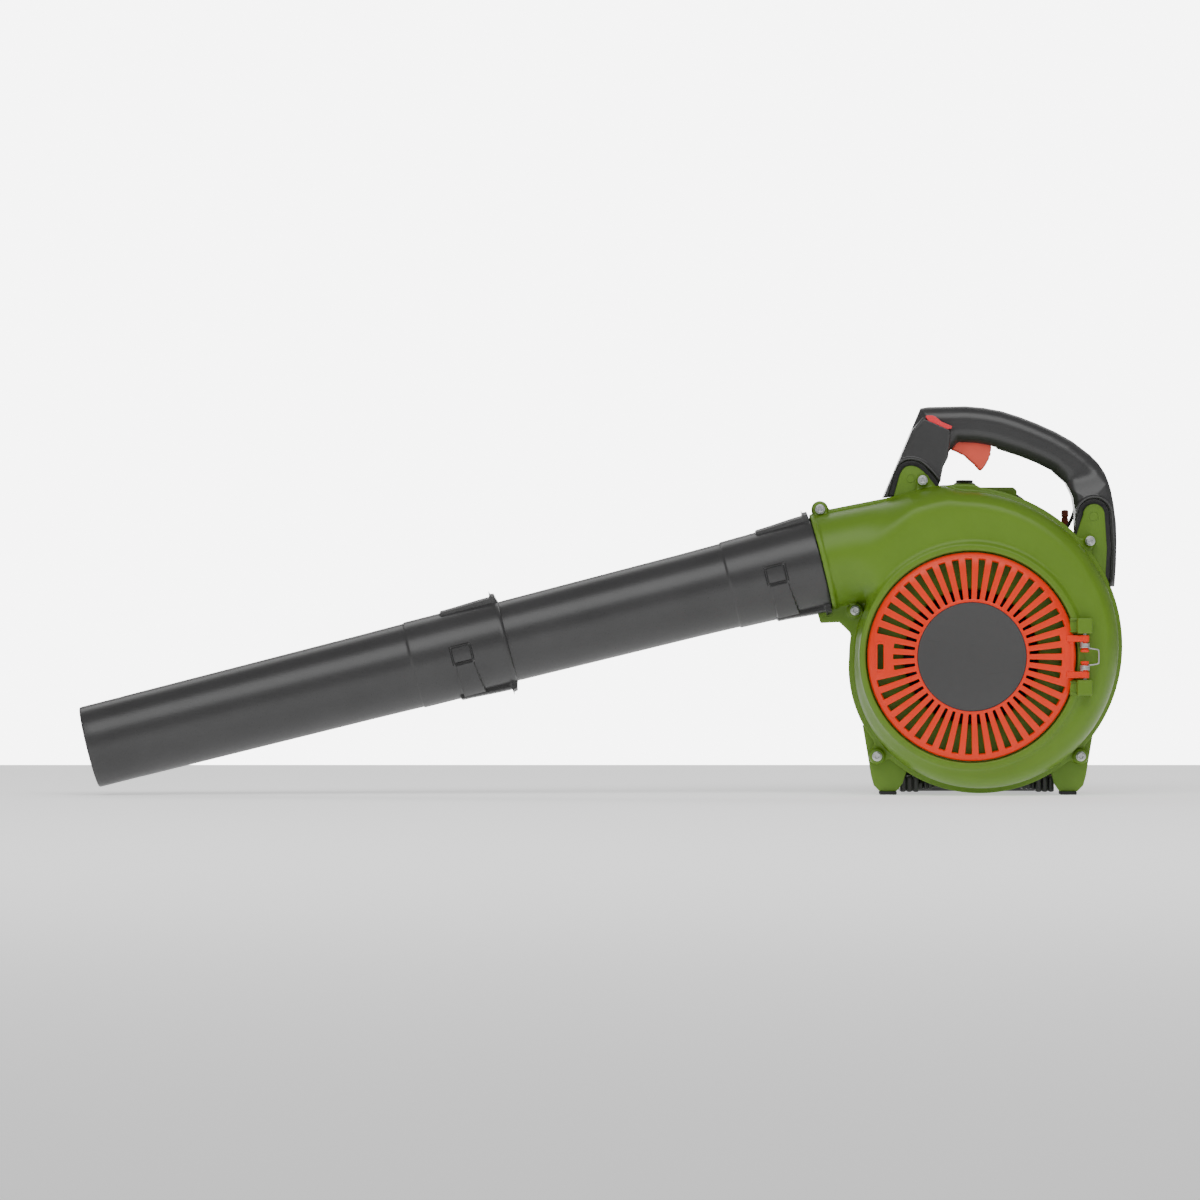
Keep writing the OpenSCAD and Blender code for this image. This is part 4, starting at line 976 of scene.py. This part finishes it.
shell = grille()
slot_tool = prism_piece("slot_tool", box_outline(-90, -12, -84.3, 12), -30, 4, 0.2)
modify(shell, "BOOLEAN", operation="DIFFERENCE", object=slot_tool, solver="EXACT")
apply_modifiers(shell)
bpy.data.objects.remove(slot_tool)
orange = "orange_plastic"
finish(shade(shell, 40), "grille", orange, "intake_grille")


def slot_frame(p):
    q = np.abs(np.stack([p[:, 0] + 87.15, p[:, 2]], 1)) - np.array([2.85, 12.0])
    d = np.hypot(*both(q + 1.2, 0).T) + np.minimum(both(q[:, 0], q[:, 1]) + 1.2, 0) - 1.2
    return slab(np.abs(d - 0.9) - 0.9, p[:, 1], -17.4, -13, 0.5)


carve("finger_slot_frame", slot_frame, (-94, -19, -16), (-80, -11, 16), 0.5, "grille", orange)


badge = [(0, 0), (49.6, 0), (50.0, -0.25), (51.0, -0.25), (51.7, 0.1), (52, 0.6), (52, 2.4), (0, 2.4)]
finish(turned("badge_disc", badge, (0, -17.4, 0), (0, 1, 0), 180), "grille", "grey_disc", "grille_badge")


def folded(p):
    """Points with Z made positive, so one side's shape serves both."""
    return np.stack([p[:, 0], p[:, 1], np.abs(p[:, 2])], 1)


def hinge_arm(p):
    m = folded(p)
    d = block(m, (90, HINGE_Y - 2.4, 14.2), (HINGE_X + 1, HINGE_Y + 2.4, 20.4), 0.9)
    d = join(d, bar(m, 2, (HINGE_X, HINGE_Y), 4.2, 14.2, 20.4, 0.5), 1.5)
    d = join(d, bar(m, 2, (HINGE_X, HINGE_Y), 3.0, 4.3, 16, 0.3), 0.2)
    d = join(d, bar(m, 2, (HINGE_X, HINGE_Y), 4.0, 4.3, 6.9, 0.5), 0.3)
    pad = block(m, (88.5, -13.8, -4), (97.4, -6.5, 19.4), 1.2)
    d = join(d, pad, 2.0)
    return cut(d, bar(m, 2, (HINGE_X, HINGE_Y), 1.8, -2, 30, 0.1))


carve("hinge_arms", hinge_arm, (86, -21, -22), (114, -5, 22), 0.55, "grille", orange)


def hinge_block(p):
    m = folded(p)
    d = block(m, (HINGE_X - 7.5, HINGE_Y - 6, 22), (HINGE_X + 7, FACE_Y + 6, 37), 1.6)
    d = join(d, block(m, (HINGE_X - 14, HINGE_Y + 2, 22), (HINGE_X - 7, FACE_Y + 6, 37), 0.7), 1.0)
    for z in (24, 35):
        d = join(
            d, block(m, (HINGE_X - 14.5, HINGE_Y + 0.6, z - 0.6), (HINGE_X - 8, FACE_Y + 6, z + 0.6), 0.4),
            0.6,
        )
    return cut(d, bar(m, 2, (HINGE_X, HINGE_Y), 1.76, 20, 40, 0.1))


carve("hinge_blocks", hinge_block, (91, -22, -39), (117, 0, 39), 0.6, "root", green)

# Double torsion spring: coils round the bosses and a bow that rests on the casing
spring = []
for side in (1, -1):
    turns = np.radians(np.arange(0, 360 * 3.7, 15))
    along = side * (8.0 + 1.45 * turns / (2 * math.pi))
    route = np.stack([HINGE_X + 4.2 * np.cos(turns), HINGE_Y + 4.2 * np.sin(turns), along], 1)
    spring.append(wire(f"coil_{side}", route, 0.72, 10))
half_bow = [(4.2, 0, 8), (9, 1.5, 7.4), (12.6, 3, 6.6), (13.5, 3.2, 5)]
bow = half_bow + [(x, y, -z) for x, y, z in half_bow[::-1]]
bow = curve_points([(HINGE_X + x, HINGE_Y + y, z) for x, y, z in bow], 5)
spring.append(wire("bow", bow, 0.75, 10))
finish(joined("hinge_spring", spring), "root", "spring_steel", "grille_spring")

# ---- Engine side ----

CYL_Y, SHROUD_Y, SHROUD_BACK, RECOIL_BACK = BACK_Y + 29, 148.0, 200.0, 222.0
ROPE_Y, ROPE_R, ROPE_AT = 207.0, 1.75, 36.0
TANK_LO, TANK_HI = (-52, 94, -124), (70, 196, -67.5)
CAP_AT = (CYL_Y + 35, -85)
KNOB_AT = (CYL_Y, 46)
middling = 1.25

COVER = Flat([(-48, 100), (-48, 155), (-40, 163.2), (46, 163.2), (49.4, 160), (50.5, 100)], margin=10)


def engine_cover(p):
    y = p[:, 1]
    d = slab(COVER(p), y, BACK_Y + 1, SHROUD_Y - 0.6, 2.5)
    d = cut(d, both(COVER(p) + 2.5, between(y, BACK_Y + 3.5, 170)), 0.4)
    d = cut(d, block(p, (-60, BACK_Y + 3.5, 80), (60, 170, 100.5), 0.1), 0.4)
    h = p[:, 2] - 160
    far = np.hypot(p[:, 0], y - CYL_Y)
    dome = slab(far - np.interp(h, [0, 5, 8.4], [13.5, 12, 9]), h, -4, 8.4, 1.6)
    d = join(d, dome, 2.5)
    d = cut(d, bar(p, 2, (0, CYL_Y), 7.6, 150, 180, 0.1), 0.4)
    for k in range(5):
        x = -36 + 5.5 * k
        d = cut(d, block(p, (x, BACK_Y + 12, 155), (x + 2.4, SHROUD_Y - 12, 170), 1.0), 0.6)
        for x in (40, -60):
            d = cut(
                d, block(p, (x, BACK_Y + 8 + 8 * k, 112), (x + 20, BACK_Y + 11.5 + 8 * k, 144), 1.4), 0.6
            )
    return d


carve("engine_hood", engine_cover, (-50, 87, 98), (53, 149, 171), middling, "root", green, "engine_cover")
hatch = [(0, 0), (7.3, 0), (7.3, 7.6), (8.1, 8.2), (8.2, 9.6), (7.6, 10.3), (6, 10.5), (0, 10.5)]


def hatch_ripple(t, h):
    return 0.25 * math.cos(18 * t) if h > 7.7 else 0


hatch = turned("plug_hatch", hatch, (0, CYL_Y, 160.1), (0, 0, 1), 72, hatch_ripple)
finish(hatch, "root", black, "plug_cap")

STARTER_SCREWS = []
for a in (45, 135, 225, 315):
    STARTER_SCREWS.append((58 * math.cos(math.radians(a)), 58 * math.sin(math.radians(a))))
SHROUD_BOX = Flat([(-66, 0), (66, 0), (70.4, 126), (37.4, 159.8), (-37.4, 159.8), (-70.4, 126)], margin=20)


def shroud_outline(p):
    x, z = p[:, 0], p[:, 2]
    d = np.minimum(SHROUD_BOX(p), np.hypot(x, z) - 66)
    return np.minimum(d, np.hypot(np.abs(x) - 37.4, z - 126.8) - 33)


def starter_housing(p):
    x, y, z = p.T
    outline = shroud_outline(p)
    d = slab(outline, y, SHROUD_Y, SHROUD_BACK, 7)
    inner = slab(outline + 3, y, SHROUD_Y - 20, SHROUD_BACK - 3, 5)
    far, turn = np.hypot(x, z), np.degrees(np.arctan2(z, x))
    lip = slab(outline - 1.2, y, SHROUD_Y, SHROUD_Y + 4, 1.0)
    d = join(d, lip, 1.5)
    d = join(d, bar(p, 1, (0, 0), 52, SHROUD_BACK - 6, RECOIL_BACK, 4.5), 4)
    d = join(d, block(p, (-ROPE_AT - 10, SHROUD_BACK - 2, 30), (-ROPE_AT + 10, ROPE_Y + 8, 52), 3.0), 3)
    for at in STARTER_SCREWS:
        d = join(d, bar(p, 1, at, 6.5, SHROUD_BACK - 8, SHROUD_BACK + 6, 1.5), 3)
    for at in ((-52, 132), (52, 132)):
        d = join(d, bar(p, 1, at, 7, SHROUD_BACK - 8, SHROUD_BACK + 2.5, 1.5), 2)
    patch = both(between(z, 74, 150), np.abs(x) - 34)
    reach = both(between(y, SHROUD_BACK - 4, SHROUD_BACK + 1.8), patch)
    d = join(d, rounded(np.abs(x - 10 * np.round(x / 10)) - 1.2, reach, 0.6), 1.2)
    chamber = bar(p, 1, (0, 0), 48.5, SHROUD_BACK - 8, RECOIL_BACK - 3, 2)
    d = cut(d, np.minimum(inner, chamber), 0.6)
    sector = np.radians((turn + 15 + 15) % 30 - 15) * far
    reach = both(between(far, 26, 43), between(y, RECOIL_BACK - 5, RECOIL_BACK + 3))
    d = cut(d, rounded(np.abs(sector) - 2.5, reach, 1.0), 0.8)
    d = join(d, slab(np.abs(far - 22) - 0.9, y, RECOIL_BACK - 3, RECOIL_BACK + 1.0, 0.5), 0.8)
    d = join(d, bar(p, 1, (0, 0), 5, ROPE_Y - 8, RECOIL_BACK - 2, 0.3), 0.5)
    d = cut(d, bar(p, 2, (-ROPE_AT, ROPE_Y), ROPE_R + 0.8, 18, 62, 0.2), 0.8)
    for at in STARTER_SCREWS:
        d = cut(d, bar(p, 1, at, 4.4, SHROUD_BACK + 3.4, SHROUD_BACK + 9, 0.2), 0.4)
    return d


carve(
    "starter_shroud", starter_housing, (-73, SHROUD_Y - 2, -69), (73, RECOIL_BACK + 2, 163),
    middling * 1.15, "root", black, "starter_housing",
)


def back_screw(name, x, z, y, r, *replaces):
    """A round head with a crossed recess, facing +Y, with its top at y."""
    def field(p):
        d = bar(p, 1, (x, z), r, y - 2.4, y, 0.6)
        for w, h in ((r * 0.55, r * 0.13), (r * 0.13, r * 0.55)):
            d = cut(d, block(p, (x - w, y - 1.5, z - h), (x + w, y + 2, z + h), 0.1), 0.15)
        return d

    lo, hi = (x - r - 1, y - 3, z - r - 1), (x + r + 1, y + 1, z + r + 1)
    carve(name, field, lo, hi, SCREW_STEP, "root", "bright_steel", *replaces)


for i, (x, z) in enumerate(STARTER_SCREWS):
    back_screw(f"starter_screw_{i}", x, z, SHROUD_BACK + 5.6, 4.1)
for i, (x, z) in enumerate(HANDLE_SCREWS):
    back_screw(f"handle_screw_{i}", x, z, GRIP_HI - 1.2, 3.8, *["handle_screws"][i:])


def tank(p):
    z = p[:, 2]
    d = block(p, TANK_LO, TANK_HI, 11)
    around = block(p, np.subtract(TANK_LO, (2.2, 2.2, 20)), np.add(TANK_HI, (2.2, 2.2, 20)), 12)
    d = join(d, slab(around, z, -97.5, -95, 0.7), 1.2)
    d = join(d, bar(p, 0, CAP_AT, 15, TANK_HI[0] - 4, TANK_HI[0] + 12, 0.8), 2.5)
    for at in (-35, 53):
        d = join(d, block(p, (at - 3, TANK_HI[1] - 1, -118), (at + 3, TANK_HI[1] + 0.9, -76), 0.8), 1.0)
    return d


carve("tank_body", tank, (-57, 90, -128), (84, 201, -64), 2.0, "root", "tank_plastic", "fuel_tank")


def knurl(t, h):
    """Eighteen square ridges round the cap's grip."""
    return 0.45 * (1 if math.cos(18 * t) > 0 else -1) * (1 if 1.6 < h < 12.4 else 0)


grip = [
    (15.1, 0.0), (18.2, 0.0), (18.6, 1.5), (18.6, 1.7), (18.6, 12.3), (18.4, 12.5), (17.5, 13.6),
    (16, 14), (11.5, 14), (10.8, 13.2), (0, 13.2),
]
grip = turned("tank_cap_grip", grip, (TANK_HI[0] + 3, *CAP_AT), (1, 0, 0), 144, knurl)
finish(grip, "tank_cap", orange, "fuel_cap")
across = box_outline(TANK_HI[0] + 15.8, -99, TANK_HI[0] + 19.4, -71)
finish(prism_piece("tank_cap_bar", across, CYL_Y + 32.8, CYL_Y + 37.2, 0.9), "tank_cap", orange)


def filter_cover(p):
    x = p[:, 0]
    d = block(p, (94, CYL_Y - 26, 38), (126, CYL_Y + 26, 108), 5)
    d = both(d, 94 - x, 0.8)
    d = join(d, block(p, (94, CYL_Y - 27.2, 36.8), (97, CYL_Y + 27.2, 109.2), 1.0), 1.2)
    d = cut(d, block(p, (80, CYL_Y - 23.5, 40.5), (123.5, CYL_Y + 23.5, 105.5), 3.5), 0.5)
    d = join(d, bar(p, 0, KNOB_AT, 11, 122, 126.2, 0.8), 1.5)
    d = cut(d, bar(p, 0, KNOB_AT, 2.6, 115, 135, 0.1), 0.3)
    for k in range(4):
        for side in (CYL_Y - 26, CYL_Y + 26):
            d = cut(d, block(p, (101, side - 4, 60 + 10 * k), (119, side + 4, 64 + 10 * k), 1.2), 0.6)
    for low in range(64, 97, 8):
        d = join(d, block(p, (124, CYL_Y - 17, low), (127.0, CYL_Y + 17, low + 2.2), 0.8), 1.2)
    return d


carve(
    "filter_lid_shell", filter_cover, (92, CYL_Y - 29, 35), (129, CYL_Y + 29, 111), middling, "filter_lid",
    black, "filter_cover",
)


def knob_ripple(t, h):
    return -0.8 * max(0, math.cos(6 * t)) ** 3 if h > 36.4 else 0


knob = [(0, 0), (2, 0), (2, 35), (6.0, 36.3), (8.2, 36.6), (8.9, 37.6), (8.9, 42.8), (8.2, 43.9), (6.5, 44.2),
        (4.5, 43.2), (0, 43.2)]
knob = turned("filter_knob_grip", knob, (90, *KNOB_AT), (1, 0, 0), 120, knob_ripple)
finish(knob, "lid_knob", black, "filter_knob")


def muffler_guard(p):
    x = p[:, 0]
    d = block(p, (-108, CYL_Y - 25, 40), (-52, CYL_Y + 31, 110), 6)
    d = cut(d, np.minimum(block(p, (-104, CYL_Y - 21, 43), (-40, CYL_Y + 27, 107), 4), -52.3 - x), 0.5)
    for k in range(5):
        ys = CYL_Y - 16 + 9 * k
        d = cut(d, block(p, (-112, ys, 50), (-100, ys + 4, 100), 1.8), 0.6)
        d = cut(d, block(p, (-98, ys, 100), (-58, ys + 4, 116), 1.8), 0.6)
    return cut(d, block(p, (-94, CYL_Y + 24, 50), (-74, CYL_Y + 36, 66), 3), 0.6)


carve(
    "muffler_cage", muffler_guard, (-110, CYL_Y - 27, 38), (-50, CYL_Y + 33, 112), middling, "root", black,
    "muffler_guard",
)


def muffler(p):
    x = p[:, 0]
    d = block(p, (-98, CYL_Y - 20, 46), (-44, CYL_Y + 26, 99), 7)
    around = block(p, (-99.5, CYL_Y - 21.5, 44.5), (-30, CYL_Y + 27.5, 100.5), 8)
    d = join(d, slab(around, x, -72, -70, 0.6), 1.0)
    for mid in (60, 72.5, 85):
        d = cut(d, block(p, (-103, CYL_Y - 14, mid - 1.5), (-96.6, CYL_Y + 20, mid + 1.5), 1.2), 2.0)
    d = join(d, bar(p, 1, (-84, 58), 5.4, CYL_Y + 20, CYL_Y + 27, 0.6), 1.0)
    return cut(d, bar(p, 1, (-84, 58), 4.0, CYL_Y + 22, CYL_Y + 35, 0.2), 0.3)


carve(
    "muffler_can", muffler, (-101, CYL_Y - 23, 43), (-42, CYL_Y + 29, 102), middling * 1.1, "root",
    "muffler_steel", "muffler",
)

def base(p):
    d = block(p, (-66, BACK_Y + 4, -131), (84.7, SHROUD_BACK - 1, -110), 4)
    d = cut(d, block(p, (-54.3, BACK_Y + 4.2, -124.4), (72.4, 198.4, -90), 11), 0.8)
    for side in (-1, 1):
        for reach, width, top in ((32, 12, -123.5), (43, 13, -120.8), (56, 18.5, -115.5)):
            w = width / 3
            bottom = -131 + 4 * (56 - reach) / 24
            for k in range(3):
                at = 9.35 + side * (reach + w * (k + 0.5))
                lo = (at - w / 2 + 0.3, PART_Y + 20 + 2 * k, bottom)
                d = join(d, block(p, lo, (at + w / 2 - 0.3, BACK_Y + 6, top), 1.7), 0.5)
    for lo in (-48, 50):
        d = join(d, block(p, (lo, SHROUD_BACK - 26, -131), (lo + 16, SHROUD_BACK - 6, -127), 0.8), 1)
    return d


carve(
    "base_tray", base, (-68, PART_Y + 18, -132), (87, SHROUD_BACK + 1, -108), middling, "root", black,
    "base_guard",
)


def pads(p):
    d = np.full(len(p), 1e3)
    for x0, x1 in ((-85.4, -69.1), (87.9, 103.7)):
        d = np.minimum(d, block(p, (x0, PART_Y - 2, FLOOR_Z), (x1, PART_Y + 26, -129.6), 0.9))
    for x0 in (-48, 50):
        d = np.minimum(d, block(p, (x0, SHROUD_BACK - 26, FLOOR_Z), (x0 + 16, SHROUD_BACK - 6, -131), 0.7))
    groove = np.abs((p[:, 1] - PART_Y) % 4 - 2) - 0.5
    return cut(d, both(groove, p[:, 2] - FLOOR_Z - 0.7), 0.2)


carve(
    "feet", pads, (-87, PART_Y - 4, FLOOR_Z - 1), (106, SHROUD_BACK - 4, -127), 0.9, "root", "rubber",
    "foot_pads",
)


def pull_handle(p):
    d = block(p, (-ROPE_AT - 32, ROPE_Y - 6, 52.3), (-ROPE_AT + 32, ROPE_Y + 10, 70), 7)
    for k in (-3, -2, -1, 1, 2, 3):
        d = cut(d, both(np.abs(p[:, 0] + ROPE_AT - 8.5 * k) - 0.9, -(d + 1.1)), 0.9)
    d = join(d, bar(p, 2, (-ROPE_AT, ROPE_Y), 5.2, 52.3, 58, 0.8), 1.5)
    return cut(d, bar(p, 2, (-ROPE_AT, ROPE_Y), ROPE_R, 45, 58.2, 0.1), 0.2)


carve(
    "pull_handle", pull_handle, (-70, ROPE_Y - 8, 50), (-2, ROPE_Y + 12, 72), 0.9, "pull_grip", black,
    "starter_grip",
)

rope_route = [(-ROPE_AT, ROPE_Y, z) for z in np.arange(10, 58.01, 0.8)]
rope_radii = [ROPE_R - 0.12 * (i % 2) for i in range(len(rope_route))]
rope = wire("pull_rope", rope_route, rope_radii, 14)
rope.data.materials.append(material("rope"))
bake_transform(rope)
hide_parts("starter_rope")


def choke(p):
    d = bar(p, 0, (CYL_Y, 119), 2, 87, 96, 0.3)
    d = join(d, block(p, (94.3, CYL_Y - 4, 113.5), (100.8, CYL_Y + 4, 134), 1.6), 1)
    d = join(d, block(p, (94.3, CYL_Y - 7, 134), (100.8, CYL_Y + 7, 141.6), 2.0), 1.5)
    for y in (CYL_Y - 4, CYL_Y, CYL_Y + 4):
        d = cut(d, block(p, (99.8, y - 0.6, 135.5), (104, y + 0.6, 140), 0.3), 0.4)
    return d


carve(
    "choke_paddle", choke, (85, CYL_Y - 9, 111), (103, CYL_Y + 9, 143), 0.6, "choke", "brown_plastic",
    "choke_lever",
)

cable_line = [
    (108, 66, 150), (106.5, 71, 148.5), (105, 77, 144), (103, 82, 136), (98, 86, 125),
    (89, 90, 113), (80, 94, 106.5), (76, 95, 104.5),
]
finish(
    wire("throttle_cable_line", curve_points(cable_line, 5), 1.7, 12), "root", "rubber", "throttle_cable"
)

# ---- CAD nodes that are shown as they are ----

SLOT_OF = {part["node"]: part["material_slot"] for part in frame["record"]["subparts"]}
for name, piece in NODES.items():
    if piece.hide_render:
        continue
    piece.data.materials.clear()
    piece.data.materials.append(material(SLOT_OF[name]))

# ---- Floor, lights and camera ----


bpy.ops.mesh.primitive_plane_add(size=1)
floor = bpy.context.object
floor.name = "floor"
floor.scale = (12, 7.2, 1)
floor.location = (0, -2.4, FLOOR_Z * MM)
floor_finish = bpy.data.materials.new("floor")
floor_finish.use_nodes = True
for key, value in (
    ("Base Color", (0.9, 0.9, 0.9, 1)), ("Roughness", 0.9), ("Specular IOR Level", 0.0),
    ("Emission Color", (1, 1, 1, 1)), ("Emission Strength", 0.6),
):
    floor_finish.node_tree.nodes["Principled BSDF"].inputs[key].default_value = value
floor.data.materials.append(floor_finish)


MIDDLE = Vector((-0.3, 0.04, 0.05))


def softbox(name, at, size, power):
    """A rectangular light of the given watts, aimed at the middle of the object."""
    data = bpy.data.lights.new(name, "AREA")
    data.shape = "RECTANGLE"
    data.size, data.size_y = size
    data.energy = power
    lamp = place(name, data)
    lamp.location = at
    lamp.rotation_euler = (MIDDLE - Vector(at)).to_track_quat("-Z", "Y").to_euler()


softbox("front_high", (-0.3, -1.9, 2.3), (4.0, 1.8), 70)
softbox("front_left", (-3.2, -3.0, 0.6), (1.8, 2.0), 7)
softbox("front_right", (2.6, -3.0, 0.6), (1.8, 2.0), 7)
softbox("front_far", (-0.3, -8.5, 0.6), (6.0, 3.0), 8)
softbox("back_top", (-0.3, 2.2, 2.2), (4.0, 1.2), 24)

# A pale room with a bright wall on the far side
world = bpy.data.worlds.new("studio")
world.use_nodes = True
tree = world.node_tree
direction = tree.nodes.new("ShaderNodeTexCoord")
facing = node(tree, "ShaderNodeVectorMath", [(0, direction, "Generated")], operation="DOT_PRODUCT")
facing.inputs[1].default_value = (0, 1, 0)
strength = scaled(tree, ramp(tree, facing, "Value", [(0.955, 0.035), (0.988, 1.0)]), 7.0)
tree.links.new(strength.outputs[0], tree.nodes["Background"].inputs[1])
tree.nodes["Background"].inputs[0].default_value = (1, 1, 1, 1)
bpy.context.scene.world = world

camera_data = bpy.data.cameras.new("camera")
camera_data.lens = 200
camera_data.sensor_width = 36
camera = place("camera", camera_data)
camera.location = (-0.354, PART_Y * MM - 6.4, 0.054)
camera.rotation_euler = (math.pi / 2, 0, 0)
bpy.context.scene.camera = camera
